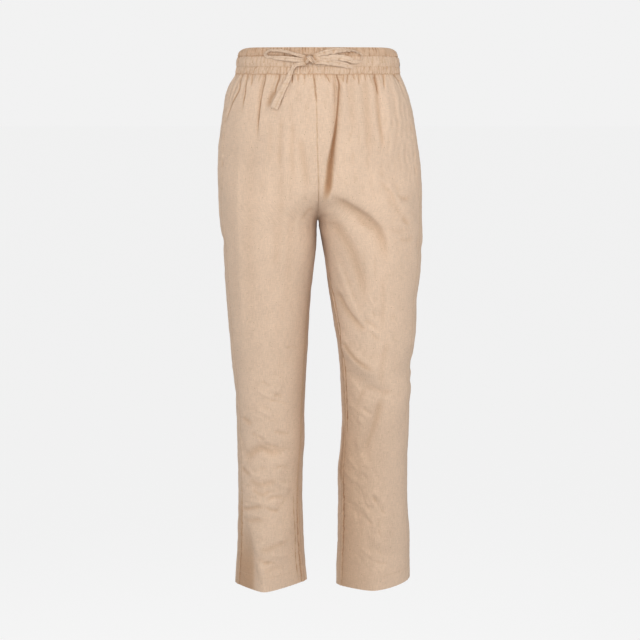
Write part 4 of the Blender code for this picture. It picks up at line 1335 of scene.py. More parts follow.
def pleats(run, waist, height, seed=83):
    """Narrow grooves caught in the stitched lines, and the painted shade in each one."""
    draw = np.random.default_rng(seed)
    groove, dark = np.zeros(height.shape), np.zeros(height.shape)
    for top, foot, count, depth, lean, shade in PLEATS:
        for _ in range(count):
            start, half = draw.uniform(0, waist), draw.uniform(0.0006, 0.0012)
            size = draw.uniform(0.35, 1.0)
            reach = draw.uniform(0.55, 1.0) * (top - foot)
            down = draw.random() < 0.6
            share = (top - height if down else height - foot) / reach
            along = clamp(1.0 - share) * (share > -0.05)
            way = draw.normal(lean * 0.6, lean)
            gap = (run - start + way * (height - foot) + waist / 2) % waist - waist / 2
            line = size * along ** 0.7 * bell(gap / half)
            groove = np.maximum(groove, depth * line)
            dark = np.maximum(dark, shade * line)
    return groove, dark


print("waves in the ruches:", 3 * len(RUCHES))

# %% Walls of the band
plain_rows = [float(h) for h in np.linspace(BAND_TOP, BAND_FOOT, 37)
              if min(abs(h - line) for line in BAND_STITCHES) > 0.0020]
sewn_rows = [line + k * 0.0004 for line in BAND_STITCHES for k in range(-4, 5)]
outer_heights = np.array(sorted(plain_rows + sewn_rows, reverse=True))
run = np.arange(BAND_COLUMNS + 1)[None, :] * waist / BAND_COLUMNS
grid_turn, grid_height = np.meshgrid(turns, outer_heights)
base = read_curve(BAND_ROWS, 1, grid_height)
share = read_curve(BAND_ROWS, 2, grid_height)
ruche = ruching(run, waist, grid_height) * share
wobble = rumples(run * np.ones_like(grid_height), grid_height, (0.020, 0.060), 0.00030, 5)
groove, groove_shade = pleats(run, waist, grid_height)
outer_wall = band_surface(grid_turn, grid_height, base + ruche + wobble - groove)
outer_wall[..., 2] += 0.0006 * np.sin(run / waist * 2 * math.pi * 9) * (grid_height < -0.018)
# How far out and how high the rolled top edge goes, from the inside to the outside.
TOP_ROLL = [(-0.0005, 0.0006), (-0.0002, 0.0012), (0.0003, 0.0013), (0.0008, 0.0010)]
roll = [band_surface(turns, np.full(turns.shape, BAND_TOP), np.full(turns.shape, depth))
        + np.array([0, 0, rise]) for depth, rise in TOP_ROLL]
inner_heights = np.linspace(BAND_TOP - 0.0004, BAND_FOOT + 0.0004, 9)
inner_turn, inner_height = np.meshgrid(turns, inner_heights)
inner_ruche = 0.5 * ruching(run, waist, inner_height, seed=72)
inner_wall = band_surface(inner_turn, inner_height, inner_ruche - 0.0004)
band_points = np.concatenate([inner_wall[::-1], np.array(roll), outer_wall, inner_wall[-1:]])
down = run_along(band_points[:, 0])[:, None]
print("rows of the band:", len(outer_heights), "outside and", len(inner_heights), "inside")

# %% Painted shade of the band, and its piece
band_shade = np.zeros(band_points.shape[:2])
first = len(inner_heights) + len(roll)
# Painted shade in the ruches' troughs and the pleats, and over the top channel.
troughs = np.maximum(clamp(-ruche / 0.0007) * 0.20, groove_shade)
troughs = np.maximum(troughs, 0.11 * clamp((grid_height - BAND_STITCHES[0]) / 0.002))
# Painted shade along both stitched lines, unevenly.
for line, darkest in zip(BAND_STITCHES, (0.86, 0.26)):
    wave = 0.0003 * np.sin(run / 0.0070) + 0.0003 * np.sin(run / 0.0113 + 1.0)
    near = bell((grid_height - line - wave) / 0.0009)
    patch = 0.66 + 0.34 * np.sin(run / 0.0190 + 2.0 * np.sin(run / 0.0310))
    troughs = np.maximum(troughs, darkest * near * patch * (
        0.8 + 0.2 * clamp(-ruche / 0.0005)))
# Painted shadow of the bow's left loop on the band.
loop_shadow = (outer_wall[..., 1] < 0) * np.exp(
    -((outer_wall[..., 0] - PAINTED_LOOP_SHADOW[0]) / PAINTED_LOOP_SHADOW[1]) ** 2
    - ((grid_height - PAINTED_LOOP_SHADOW[2]) / PAINTED_LOOP_SHADOW[3]) ** 2)
troughs = np.maximum(troughs, 0.55 * loop_shadow * (0.7 + 0.3 * np.sin(run / 0.0012)))
# Painted shadow at the band's foot.
troughs = np.maximum(troughs, 0.3 * clamp((BAND_FOOT + 0.0012 - grid_height) / 0.0012))
# The whole band is made a little darker.
troughs += 0.03
band_shade[first:first + len(outer_heights)] = troughs
shape = band_points.shape[:2]
band = moved_grid("cloth_waistband", band_points, np.broadcast_to(run * BAND_EASE, shape) - 0.5,
                  np.broadcast_to(down, shape), band_shade)
in_edit_mode((bpy.ops.mesh.remove_doubles, {"threshold": 0.00002}), OUTWARDS)
finish_cloth(band, "linen", "waistband")
print("waistband:", len(band.data.polygons), "faces, waist", round(float(waist), 3), "m")

# %% [markdown]
# ## Pocket bags
# The bags hang inside, behind the side seams: one closed patch of thin cloth each, a little
# in from the front panel, with a rounded lower corner. They are plain, because hardly
# anything shows through the waist, but they are cloth with a weave like the rest.

# %% Pocket bags
BAG_FOOT = -0.2535
BAG_SHARE = 6 / 16
BAG_INSET = 0.0009
BAG_ROUND = 0.05
BAG_GRID = (90, 44)
BAG_WALL = 0.0009


def on_panel(side, back, rows, columns, layer="surface"):
    """Points and outward directions of a panel at fractional rows and columns."""
    net = nets[side, back]
    rows, columns = np.broadcast_arrays(np.asarray(rows, float), np.asarray(columns, float))
    r, c = np.floor(rows).astype(int), np.floor(columns).astype(int)
    r, c = np.clip(r, 0, net["angle"].shape[0] - 2), np.clip(c, 0, net["angle"].shape[1] - 2)
    a, b = (rows - r)[..., None], (columns - c)[..., None]
    mixed = []
    for grid in (net[layer], net["normal"]):
        mixed.append((grid[r, c] * (1 - a) + grid[r + 1, c] * a) * (1 - b)
                     + (grid[r, c + 1] * (1 - a) + grid[r + 1, c + 1] * a) * b)
    return mixed


def row_at(net, column, height):
    """Fractional row of a panel's column at a height."""
    return np.interp(-np.asarray(height), -net["height"][:, column], np.arange(len(net["height"])))


def bag_points(side):
    """Grid of a bag behind its front panel, in fractional rows and columns of that panel."""
    net = nets[side, False]
    rows, columns = BAG_GRID
    last = net["angle"].shape[1] - 1
    height = np.linspace(PANEL_TOP - 0.002, BAG_FOOT, rows)[:, None]
    row = row_at(net, -1, height)
    corner = clamp((BAG_FOOT + BAG_ROUND - height) / BAG_ROUND)
    share = 1 - BAG_SHARE * (1 - 0.55 * (1 - np.sqrt(1 - corner ** 2)))
    place = share + (0.995 - share) * np.linspace(0, 1, columns)[None, :]
    return on_panel(side, False, row, place * last, "inside"), height


for side in ("right", "left"):
    (points, out), height = bag_points(side)
    across = run_across(points)
    hang = rumples(across, height, (0.03, 0.08), 0.00025, 90 + len(side))
    points = points - out * (BAG_INSET + np.clip(hang, 0, None))[..., None]
    bag = moved_grid(f"cloth_pocket_bag_{side}", points, across,
                     height + 0.5 + across * 0, across * 0)
    turn_outwards(bag, out[35, 18])
    give_wall(bag, BAG_WALL)
    finish_cloth(bag, "pocketing", f"pocket_bag_{side}")
    print(bag.name, len(bag.data.polygons), "faces")

# %% [markdown]
# ## Drawstring
# The tie is a strip of the same linen folded lengthwise and sewn flat, about 8.5 mm wide. Its
# two loops and two ends follow smooth routes in front of the band. A cross-section that is
# wide and thin is carried along each route, always flat against the garment, and a slow twist
# lets the light change along it. One hanging end opens into a flat tip that is sewn across.

# %% Sizes and routes of the tie
TIE_WIDTH = 0.0085
TIE_THICK = 0.0015
ROUTE_SPACING = 0.0009
SEWN_TIP = "tie_end_right"
# X, Z and how far in front of the cloth the middle of the tie runs, in millimetres.
TIE_ROUTES = {
    "bow_loop_right": [
        (-20.4, 7.4, 5.2), (-35.1, 11.2, 5), (-48.9, 15, 4.2), (-61, 17.8, 3.8), (-76, 19.2, 3.6),
        (-88, 18, 3.6), (-93.5, 12.8, 3.8), (-89, 8, 4.2), (-74.2, 6.3, 4.6), (-52.5, 4.4, 5),
        (-34, 2.6, 5.2), (-21.8, 1.8, 5.2)],
    "bow_loop_left": [
        (-7.4, 8.4, 5.2), (8.1, 13.5, 5), (29.4, 17.8, 4), (51.1, 19.2, 3.1), (67, 17.6, 3.1),
        (77.5, 12.8, 3.2), (80, 5.3, 3.4), (76, -0.4, 4), (66, -0.6, 4.8), (51.1, 4.6, 5.6),
        (33.8, 6.8, 5.8), (18.7, 6.2, 5.6), (-5.6, 3.6, 5.2)],
    "tie_end_left": [
        (-7, -2.2, 5.2), (13.4, -1.4, 4.2), (31.2, -3, 3.4), (49, -6.6, 2.4), (63.4, -10.5, 1)],
    "tie_end_right": [
        (-19, -3.8, 5.2), (-32, -5, 4.2), (-38.9, -6.8, 3.4), (-43.6, -12, 3.2),
        (-47.8, -20, 3.8), (-52.5, -32, 5), (-59.7, -45, 5.2), (-66.3, -58.5, 4.4),
        (-73.1, -72.5, 4), (-78, -82.8, 3.8)],
}
# Width along the tie as a share, and its turn in degrees, at even places from the knot.
TIE_WIDTHS = {
    "bow_loop_right": (0.66, 0.64, 0.62, 0.62, 0.62, 0.62, 0.72, 0.92, 1.04, 1.02, 0.80),
    "bow_loop_left": (0.78, 1.05, 1.28, 1.02, 0.56, 0.46, 0.54, 1.02, 1.34, 1.16, 0.90, 0.80),
    "tie_end_left": (0.70, 0.90, 1.18, 1.25, 1.10, 0.70),
    "tie_end_right": (0.80, 0.86, 0.90, 0.92, 1.00, 1.12, 1.30, 1.46, 1.55, 1.58),
}
TIE_TURNS = {
    "bow_loop_right": (0, 22, 34, 30, 42, 38, 20, 6, -4, 6, 0),
    "bow_loop_left": (0, 14, 6, 20, 42, 48, 40, 14, -8, 6, -6, 0),
    "tie_end_left": (0, -10, 8, 14, 6, 0),
    "tie_end_right": (0, 16, 30, 12, -14, -6, 10, 6, -4, 2),
}
KNOT_CENTRE = (-0.0135, 0.0030, 0.0052)
# The section of the tie, half of it: across, thickness as a share. The dip is the fold line.
TIE_SECTION = [(-1.00, 0.15), (-0.96, 0.62), (-0.82, 0.95), (-0.55, 1.00), (-0.30, 0.86),
               (-0.10, 0.90), (0.12, 0.80), (0.26, 0.66), (0.40, 0.84), (0.62, 0.98),
               (0.84, 0.90), (0.96, 0.60), (1.00, 0.15)]
print("routes of the tie:", ", ".join(TIE_ROUTES))


# %% Routes in front of the cloth
def in_front(x, z, lift):
    """Point at X, Z that far in front of the garment's front."""
    side = "left" if x >= 0 else "right"
    outer, inner, front, _, middle = section(side, np.array(z))
    share = (abs(x) - (outer + inner) / 2) / ((outer - inner) / 2)
    y = middle - (middle + front) * math.sqrt(1 - share ** 2)
    return np.array([x, float(y) - lift, z])


def smooth_route(route):
    """Evenly spaced points on a smooth curve through a route's own points."""
    curve = smooth_path([in_front(*point) for point in in_metres(route)], steps=24)
    run = run_along(curve)
    marks = np.linspace(0.0, run[-1], round(run[-1] / ROUTE_SPACING) + 1)
    return np.stack([np.interp(marks, run, curve[:, i]) for i in range(3)], axis=1), marks


knot_place = in_front(*KNOT_CENTRE)
print("knot at", [round(float(c), 4) for c in knot_place])


# %% A flat tie along a path
def swept(name, path, marks, width, thick, twist):
    """A flat tie along a path: rings of one section, and a closed cap at each end."""
    tangent = unit(np.gradient(path, axis=0))
    front = np.stack([path[:, 0] * 0.35, -np.ones(len(path)), np.zeros(len(path))], axis=1)
    side = unit(np.cross(front, tangent))
    out = np.cross(tangent, side)
    turn = np.radians(twist)[:, None]
    side, out = side * np.cos(turn) + out * np.sin(turn), out * np.cos(turn) - side * np.sin(turn)
    across = np.array([s for s, _ in TIE_SECTION] + [s for s, _ in TIE_SECTION[-2:0:-1]])
    lift = np.array([t for _, t in TIE_SECTION] + [-t for _, t in TIE_SECTION[-2:0:-1]])
    draw = np.random.default_rng(len(name) + int(1000 * abs(path[0, 0])))
    ripple = sum(draw.uniform(0.06, 0.16) * np.sin(
        2 * math.pi * marks[:, None] / draw.uniform(0.005, 0.024) + across * draw.uniform(-4, 4)
        + draw.uniform(*ANY_PHASE)) for _ in range(7))
    uneven = 1 + 0.05 * np.sin(marks / 0.0031 + 1.0) + 0.04 * np.sin(marks / 0.0018)
    rings = (path[:, None] + side[:, None] * (across * (width * uneven)[:, None] / 2)[..., None]
             + out[:, None] * (lift * thick[:, None] / 2 + ripple * TIE_THICK)[..., None])
    count = len(across)
    verts = rings.reshape(-1, 3).tolist() + [path[0].tolist(), path[-1].tolist()]
    faces = []
    for i in range(len(path) - 1):
        for j in range(count):
            k = (j + 1) % count
            faces.append((i * count + j, i * count + k, (i + 1) * count + k, (i + 1) * count + j))
    last = (len(path) - 1) * count
    for j in range(count):
        k = (j + 1) % count
        faces.append((len(verts) - 2, k, j))
        faces.append((len(verts) - 1, last + j, last + k))
    mesh = bpy.data.meshes.new(name)
    mesh.from_pydata(verts, [], faces)
    around = np.array([s for s, _ in TIE_SECTION] + [2 + s for s, _ in TIE_SECTION[1:-1]])
    flat = np.stack(np.meshgrid(marks, around * TIE_WIDTH / 2, indexing="ij"), axis=-1)
    set_cut(mesh, np.vstack([flat.reshape(-1, 2), np.zeros((2, 2))]))
    # Painted shade on the tie: in its fold line, at its edges, in the ripples' troughs and near
    # the knot.
    groove = bell((across - 0.26) / 0.10) * (lift > 0) * 0.16
    rims = (np.abs(across) > 0.97) * 0.16
    hollows = 0.40 * np.clip(-ripple - 0.10, 0, 0.5) * (lift > 0)
    root = 0.45 * np.exp(-marks / 0.0035)
    if "loop" in name:
        root += 0.45 * np.exp((marks - marks[-1]) / 0.0035)
    painted_tie_shade = groove + rims + hollows + root[:, None]
    if name == SEWN_TIP:
        sewn = (marks > marks[-1] - 0.020) * (np.sin(2 * math.pi * marks / 0.0034) > 0.2)
        painted_tie_shade = painted_tie_shade + 0.32 * sewn[:, None] * (np.abs(across - 0.15) < 0.5) * (lift > 0)
    # Painted shade at the end caps too.
    set_painted_shade(mesh, np.clip(painted_tie_shade, 0, 0.7).ravel().tolist() + [0.3, 0.3])
    return placed(name, mesh)


print("points round the tie:", 2 * len(TIE_SECTION) - 2)

# %% Loops and ends
tie_pieces = {}
for name, route in TIE_ROUTES.items():
    path, marks = smooth_route(route)
    places = marks / marks[-1]
    widths = np.array(TIE_WIDTHS[name])
    width = TIE_WIDTH * np.interp(places, np.linspace(0, 1, len(widths)), widths)
    thick = TIE_THICK * (1.30 - 0.40 * np.sin(math.pi * places))
    turned = np.array(TIE_TURNS[name])
    twist = np.interp(places, np.linspace(0, 1, len(turned)), turned)
    piece = swept(f"cloth_{name}", path, marks, width, thick, twist)
    finish_cloth(piece, "linen_tie", name)
    tie_pieces[name] = piece
    print(piece.name, round(float(marks[-1]) * 1000), "mm long")

# %% Core of the knot
KNOT_CORE = (0.0092, 0.0034, 0.0048)
# Painted shade over the whole knot core, so the gaps between the turns look dark.
KNOT_SHADE = 0.40


def lump(x, y, z):
    """A point of the unit sphere, moved to the knot's rounded box with soft pleats."""
    pleat = 1.0 + 0.06 * math.sin(7.0 * z + 3.0 * x) + 0.04 * math.sin(11.0 * x - 2.0 * z)
    square = (abs(x) ** 3 + abs(y) ** 3 + abs(z) ** 3) ** (-1 / 3)
    return Vector(knot_place) + Vector(
        (x * KNOT_CORE[0] * pleat * square, y * KNOT_CORE[1] * square,
         z * KNOT_CORE[2] * pleat * square))


def knot_core():
    """The folded tie inside the knot. A new sphere's faces come in any order, so they are
    sorted, and the mesh is the same each time."""
    deselect_all()
    bpy.ops.mesh.primitive_uv_sphere_add(segments=48, ring_count=28, radius=1.0)
    core = bpy.context.active_object
    core.name = core.data.name = "knot_core"
    points = [lump(*vertex.co) for vertex in core.data.vertices]
    faces = []
    for face in core.data.polygons:
        corners = list(face.vertices)
        first = corners.index(min(corners))
        faces.append(corners[first:] + corners[:first])
    core.data.clear_geometry()
    core.data.from_pydata(points, [], sorted(faces))
    set_painted_shade(core.data, [KNOT_SHADE] * len(points))
    return core


core = knot_core()
print(core.name, "with", len(core.data.polygons), "faces")

# %% Turns of tie over the knot
KNOT_WRAP = (0.0068, 0.0048)
WRAP_WALL = 0.0008
# For each turn: lean, half width, how far out, where it passes the middle.
WRAPS = [(0.80, 0.0030, 1.00, 0.0018), (-0.66, 0.0026, 0.86, -0.0022),
         (0.50, 0.0022, 0.80, 0.0062)]


def wrap_piece(number, lean, half_width, out, shift):
    """A turn of tie that goes over the knot at a slant and holds it."""
    rows, columns = 64, 22
    lap = np.radians(np.linspace(-200.0, 150.0, rows))
    path = np.stack([
        knot_place[0] + shift - lean * np.sin(lap) * KNOT_WRAP[0],
        knot_place[1] - np.cos(lap) * KNOT_WRAP[1] * out,
        knot_place[2] + np.sin(lap) * KNOT_WRAP[0] * 0.82], axis=1)
    tangent = unit(np.gradient(path, axis=0))
    outward = unit(path - np.array(knot_place))
    side = unit(np.cross(outward, tangent))
    across = np.linspace(-1.0, 1.0, columns)[None, :, None]
    pinch = half_width * (1 + 0.25 * np.sin(lap + 0.8))[:, None, None]
    bulge = (0.0007 * (1 - across ** 4) - 0.0005 * bell((across - 0.25) / 0.12)
             - 0.0003 * bell((across + 0.40) / 0.10))
    points = path[:, None] + side[:, None] * across * pinch + outward[:, None] * bulge
    across = across[..., 0]
    # Painted shade in the wrap's two dips and along its edges.
    shade = np.broadcast_to(0.42 * bell((across - 0.25) / 0.10)
                            + 0.30 * bell((across + 0.40) / 0.09)
                            + 0.42 * (np.abs(across) > 0.90), (rows, columns))
    run = np.linspace(0, 0.05, rows)[:, None]
    piece = moved_grid(f"knot_wrap_{number}", points, across * 0.004 + run * 0,
                       run + across * 0, shade)
    turn_outwards(piece, outward[rows // 2])
    give_wall(piece, WRAP_WALL)
    return piece


wraps = [wrap_piece(i, *sizes) for i, sizes in enumerate(WRAPS)]
for piece in (core, *wraps):
    finish_cloth(piece, "linen_tie", "bow_knot")
print("knot:", core.name, "and", len(wraps), "turns of tie")

# %% [markdown]
# ## Stitches
# Each stitch is a short bead of thread, pressed into the cloth. A row of them is one piece:
# the bead is repeated along a line on the cloth's own surface, so it follows every fold.

# %% Stitches
STITCH_LENGTH = 0.0021
STITCH_PITCH = 0.0031
STITCH_RADIUS = 0.00028
BEAD_RINGS = [(-1.0, 0.35), (-0.55, 1.0), (0.55, 1.0), (1.0, 0.35)]
BEAD_SIDES = 4


def beads(name, line, outs, pitch=STITCH_PITCH, length=STITCH_LENGTH, radius=STITCH_RADIUS):
    """A row of thread beads along a line, each turned to the line and flat on the cloth."""
    line, outs = np.asarray(line, float), np.asarray(outs, float)
    run = run_along(line)
    verts, faces = [], []
    for mark in np.arange(pitch / 2, run[-1], pitch):
        half = length / 2
        ends = [np.array([np.interp(mark + d, run, line[:, i]) for i in range(3)])
                for d in (-half, half)]
        out = np.array([np.interp(mark, run, outs[:, i]) for i in range(3)])
        out /= np.linalg.norm(out)
        middle, along = (ends[0] + ends[1]) / 2, ends[1] - ends[0]
        if np.linalg.norm(along) < half:
            continue
        along /= np.linalg.norm(along)
        side = np.cross(along, out)
        first = len(verts)
        for place, size in BEAD_RINGS:
            for j in range(BEAD_SIDES):
                turn = 2 * math.pi * (j + 0.5) / BEAD_SIDES
                spot = (middle + along * place * half + side * math.cos(turn) * radius * size
                        + out * (math.sin(turn) * radius * size * 0.8 + radius * 0.35 * size))
                verts.append(spot.tolist())
        for ring in range(len(BEAD_RINGS) - 1):
            for j in range(BEAD_SIDES):
                k = (j + 1) % BEAD_SIDES
                a, b = first + ring * BEAD_SIDES, first + (ring + 1) * BEAD_SIDES
                faces.append((a + j, a + k, b + k, b + j))
        last = first + (len(BEAD_RINGS) - 1) * BEAD_SIDES
        faces.append(tuple(first + j for j in range(BEAD_SIDES))[::-1])
        faces.append(tuple(last + j for j in range(BEAD_SIDES)))
    mesh = bpy.data.meshes.new(name)
    mesh.from_pydata(verts, [], faces)
    piece = placed(name, mesh)
    finish_cloth(piece, "linen_tie")
    return piece, len(faces)


stitch_rows = []
for i, line in enumerate(BAND_STITCHES):
    nearest = int(np.argmin(np.abs(outer_heights - line)))
    out = ring_out(turns, np.full(turns.shape, line))
    stitch_rows.append(beads(f"stitches_band_{i}", outer_wall[nearest], out, pitch=0.0027,
                             length=0.0018))
for (side, back), net in nets.items():
    face = "back" if back else "front"
    columns = np.linspace(1.5, net["angle"].shape[1] - 2.5, 200)
    row = float(row_at(net, 5, HEM_STITCH))
    stitch_rows.append(beads(f"stitches_hem_{face}_{side}", *on_panel(side, back, row, columns)))
print("stitched rows:", len(stitch_rows), "with", sum(n for _, n in stitch_rows), "faces")

# %% Fly, pocket edges and bar tacks
FLY_DEPTH = -0.184
FLY_WIDTH = 0.0235
FLY_BEND = 0.022
POCKET_EDGE = 0.0065


def column_at(net, row, distance, from_side=False):
    """Fractional column at a distance from the inner edge, or from the side seam."""
    across = net["across"][int(row)]
    wanted = across[-1] - distance if from_side else distance
    return float(np.interp(wanted, across, np.arange(len(across))))


def stitched_line(name, side, back, track, from_side=False, **sizes):
    """Stitches along a track of heights and distances in a panel."""
    net = nets[side, back]
    edge = net["angle"].shape[1] - 1 if from_side else 0
    rows = [float(row_at(net, edge, height)) for height, _ in track]
    columns = [column_at(net, row, distance, from_side)
               for row, (_, distance) in zip(rows, track)]
    return beads(name, *on_panel(side, back, rows, columns), **sizes)


fly_foot = FLY_DEPTH + FLY_BEND
fly = [(h, FLY_WIDTH) for h in np.linspace(PANEL_TOP - 0.002, fly_foot, 40)]
fly += [(fly_foot - FLY_BEND * math.sin(t), FLY_WIDTH * math.cos(t) * 0.999 + 0.0012)
        for t in np.linspace(0.15, math.pi / 2, 16)]
details = [stitched_line("stitches_fly", "left", False, fly)]
for side in ("right", "left"):
    heights = np.linspace(POCKET_TOP, POCKET_FOOT, 60)
    details.append(stitched_line(f"stitches_pocket_{side}", side, False,
                                 [(h, POCKET_EDGE) for h in heights], from_side=True))
    for height in (POCKET_TOP, POCKET_FOOT):
        bar = [(height + 0.0002 * k, d) for k, d in enumerate(np.linspace(0.0005, 0.0075, 9))]
        details.append(stitched_line(f"bar_tack_{side}_{abs(round(height * 1000))}", side, False,
                                     bar, from_side=True, pitch=0.0006, length=0.0020,
                                     radius=0.00042))
print("fly, pocket edges and bar tacks:", len(details), "rows")

# %% [markdown]
# ## Finishes
# The linen's colour and relief come from its flat cut: the UV map holds real distances, so one
# set of numbers gives threads of a real thickness. A plain weave is two waves crossing. Slubs,
# the thick spots of the yarn, are noise stretched along the thread both ways. A few dark
# flecks are bits of stalk left in the flax, and the broad mottling is the dye.
# Painted shade from the attribute 'crease' darkens and warms the cloth in creases, seams and
# hollows.

# %% Colours, and helpers for nodes
LINEN_COLOUR = (0.665, 0.492, 0.362)
# Share of each colour that is left at full painted shade.
PAINTED_SHADE_TINT = (0.41, 0.255, 0.155)
FLECK_COLOUR = (0.26, 0.165, 0.095)
WEAVE_PITCH = 0.0008


def plug(tree, socket, value):
    """A socket linked to another, or set to a number, colour or direction."""
    if isinstance(value, bpy.types.NodeSocket):
        tree.links.new(value, socket)
    else:
        socket.default_value = value


def fill(tree, made, **sockets):
    """A node with the named sockets set or linked."""
    for key, value in sockets.items():
        plug(tree, made.inputs[key.replace("_", " ")], value)
    return made


def node(tree, kind, **sockets):
    """A new shader node with the named sockets set or linked."""
    return fill(tree, tree.nodes.new(kind), **sockets)


def maths(tree, how, first, second=0.0, third=0.0):
    """A maths node's result."""
    made = tree.nodes.new("ShaderNodeMath")
    made.operation = how
    for socket, value in zip(made.inputs, (first, second, third)):
        plug(tree, socket, value)
    return made.outputs[0]


def remap(tree, value, low, high, to_low=0.0, to_high=1.0):
    """A value stretched from one range to another, and kept inside it."""
    return node(tree, "ShaderNodeMapRange", Value=value, From_Min=low, From_Max=high,
                To_Min=to_low, To_Max=to_high).outputs["Result"]


def mixed_colour(tree, share, first, second, how="MIX"):
    """Two colours mixed by a share."""
    made = tree.nodes.new("ShaderNodeMix")
    made.data_type = "RGBA"
    made.blend_type = how
    made.clamp_factor = True
    for key, value in ((0, share), (6, first), (7, second)):
        plug(tree, made.inputs[key], (*value, 1.0) if isinstance(value, tuple) else value)
    return made.outputs[2]


print("linen colour:", LINEN_COLOUR, "and in a crease, a share of", PAINTED_SHADE_TINT)


# %% Greys, noise and a new material
def grey(tree, tone):
    """A grey of that tone."""
    return node(tree, "ShaderNodeCombineColor", Red=tone, Green=tone, Blue=tone).outputs[0]


def new_material(name):
    """A new material, its tree of nodes and its shader."""
    material = bpy.data.materials.new(name)
    material.use_nodes = True
    return material, material.node_tree, material.node_tree.nodes["Principled BSDF"]


def stretched_noise(tree, place, wide, tall, detail=2.0):
    """Noise whose patches are that wide and tall, in metres."""
    scale = (1 / wide, 1 / tall, 1.0)
    moved = node(tree, "ShaderNodeMapping", Vector=place, Scale=scale)
    noise = node(tree, "ShaderNodeTexNoise", Vector=moved.outputs[0], Scale=1.0, Detail=detail,
                 Roughness=0.55)
    return noise.outputs["Fac"]


print("weave of the linen:", round(1 / (WEAVE_PITCH * 1000), 2), "waves for each millimetre")


# %% Woven cloth
def cloth_finish(name, colour, weave, slub, fleck, roughness, sheen):
    """A woven cloth: weave, slubs, flecks, mottling and painted shade in creases and hollows."""
    material, tree, shader = new_material(name)
    uv = tree.nodes.new("ShaderNodeUVMap")
    uv.uv_map = "cut"
    place = node(tree, "ShaderNodeMapping", Vector=uv.outputs[0],
                 Scale=(CUT_SCALE, CUT_SCALE, CUT_SCALE)).outputs[0]
    split = node(tree, "ShaderNodeSeparateXYZ", Vector=place)
    drift = stretched_noise(tree, place, 0.020, 0.020)
    drift = maths(tree, "MULTIPLY", drift, 2.0)
    threads = []
    for axis in ("X", "Y"):
        turned = maths(tree, "MULTIPLY_ADD", split.outputs[axis], 2 * math.pi / weave, drift)
        threads.append(maths(tree, "SINE", turned))
    crossing = maths(tree, "MULTIPLY", threads[0], threads[1])
    slub_across = stretched_noise(tree, place, 0.015, 0.0012)
    slub_down = stretched_noise(tree, place, 0.0011, 0.018)
    fine_across = stretched_noise(tree, place, 0.006, 0.0006)
    fine_down = stretched_noise(tree, place, 0.0006, 0.007)
    slubs = maths(tree, "MAXIMUM", remap(tree, slub_across, 0.50, 0.78),
                  remap(tree, slub_down, 0.52, 0.80))
    yarn = maths(tree, "ADD", maths(tree, "MULTIPLY_ADD", slub_down, 1.3, slub_across),
                 maths(tree, "MULTIPLY_ADD", fine_down, 1.3, fine_across))
    mottle = stretched_noise(tree, place, 0.055, 0.075, detail=4.0)
    tone = maths(tree, "ADD", remap(tree, yarn, 1.95, 2.65, 1 - slub, 1 + slub),
                 remap(tree, mottle, 0.3, 0.7, -0.035, 0.035))
    tone = maths(tree, "ADD", tone, maths(tree, "MULTIPLY", crossing, 0.035))
    base = mixed_colour(tree, 1.0, colour, grey(tree, tone), "MULTIPLY")
    spots = node(tree, "ShaderNodeTexVoronoi", Vector=place, Scale=1 / 0.0062)
    size = stretched_noise(tree, place, 0.009, 0.009)
    chance = remap(tree, size, 0.52, 0.58)
    dot = remap(tree, spots.outputs["Distance"], 0.07, 0.13, 1.0, 0.0)
    base = mixed_colour(tree, maths(tree, "MULTIPLY", maths(tree, "MULTIPLY", dot, chance), fleck),
                        base, FLECK_COLOUR)
    # Painted shade: each colour is multiplied by its share, raised to the attribute's value.
    painted_shade_node = tree.nodes.new("ShaderNodeAttribute")
    painted_shade_node.attribute_name = "crease"
    tint = [maths(tree, "POWER", share, painted_shade_node.outputs["Fac"]) for share in PAINTED_SHADE_TINT]
    warm = node(tree, "ShaderNodeCombineColor", Red=tint[0], Green=tint[1], Blue=tint[2])
    base = mixed_colour(tree, 1.0, base, warm.outputs[0], "MULTIPLY")
    rough = remap(tree, yarn, 1.95, 2.65, roughness - 0.06, roughness + 0.05)
    relief = maths(tree, "ADD", maths(tree, "MULTIPLY", crossing, 0.30),
                   maths(tree, "ADD", maths(tree, "MULTIPLY", slubs, 0.55),
                         maths(tree, "MULTIPLY", yarn, 0.45)))
    bump = node(tree, "ShaderNodeBump", Height=relief, Strength=0.8, Distance=0.00030)
    fill(tree, shader, Base_Color=base, Roughness=rough, Sheen_Weight=sheen, Sheen_Roughness=0.55,
         Specular_IOR_Level=0.22, Normal=bump.outputs[0])
    return material


print("the finish reads the cut from the UV map, and the shade of creases from an attribute")

# %% Linen, pocketing, tie and thread
THREAD_COLOUR = (0.60, 0.44, 0.30)
finishes = {
    "linen": cloth_finish("linen", LINEN_COLOUR, WEAVE_PITCH, 0.105, 0.85, 0.90, 0.09),
    "pocketing": cloth_finish("pocketing", (0.72, 0.60, 0.46), 0.0005, 0.04, 0.2, 0.88, 0.10),
    "tie": cloth_finish("linen_tie", (0.665, 0.497, 0.368), 0.00065, 0.08, 0.45, 0.88, 0.16),
}


def thread_finish():
    """Sewing thread: twisted plies, a little glossier than the cloth."""
    material, tree, shader = new_material("sewing_thread")
    where = tree.nodes.new("ShaderNodeTexCoord").outputs["Object"]
    moved = node(tree, "ShaderNodeMapping", Vector=where, Rotation=(0.4, 0.5, 0.7))
    plies = node(tree, "ShaderNodeTexWave", Vector=moved.outputs[0], Scale=620.0, Distortion=1.5)
    shade = remap(tree, plies.outputs["Fac"], 0.0, 1.0, 0.88, 1.06)
    base = mixed_colour(tree, 1.0, THREAD_COLOUR, grey(tree, shade), "MULTIPLY")
    bump = node(tree, "ShaderNodeBump", Height=plies.outputs["Fac"], Strength=0.4,
                Distance=0.00008)
    fill(tree, shader, Base_Color=base, Roughness=0.62, Sheen_Weight=0.12,
         Normal=bump.outputs[0])
    return material


def dress(piece, material):
    """The piece's only material."""
    piece.data.materials.clear()
    piece.data.materials.append(material)


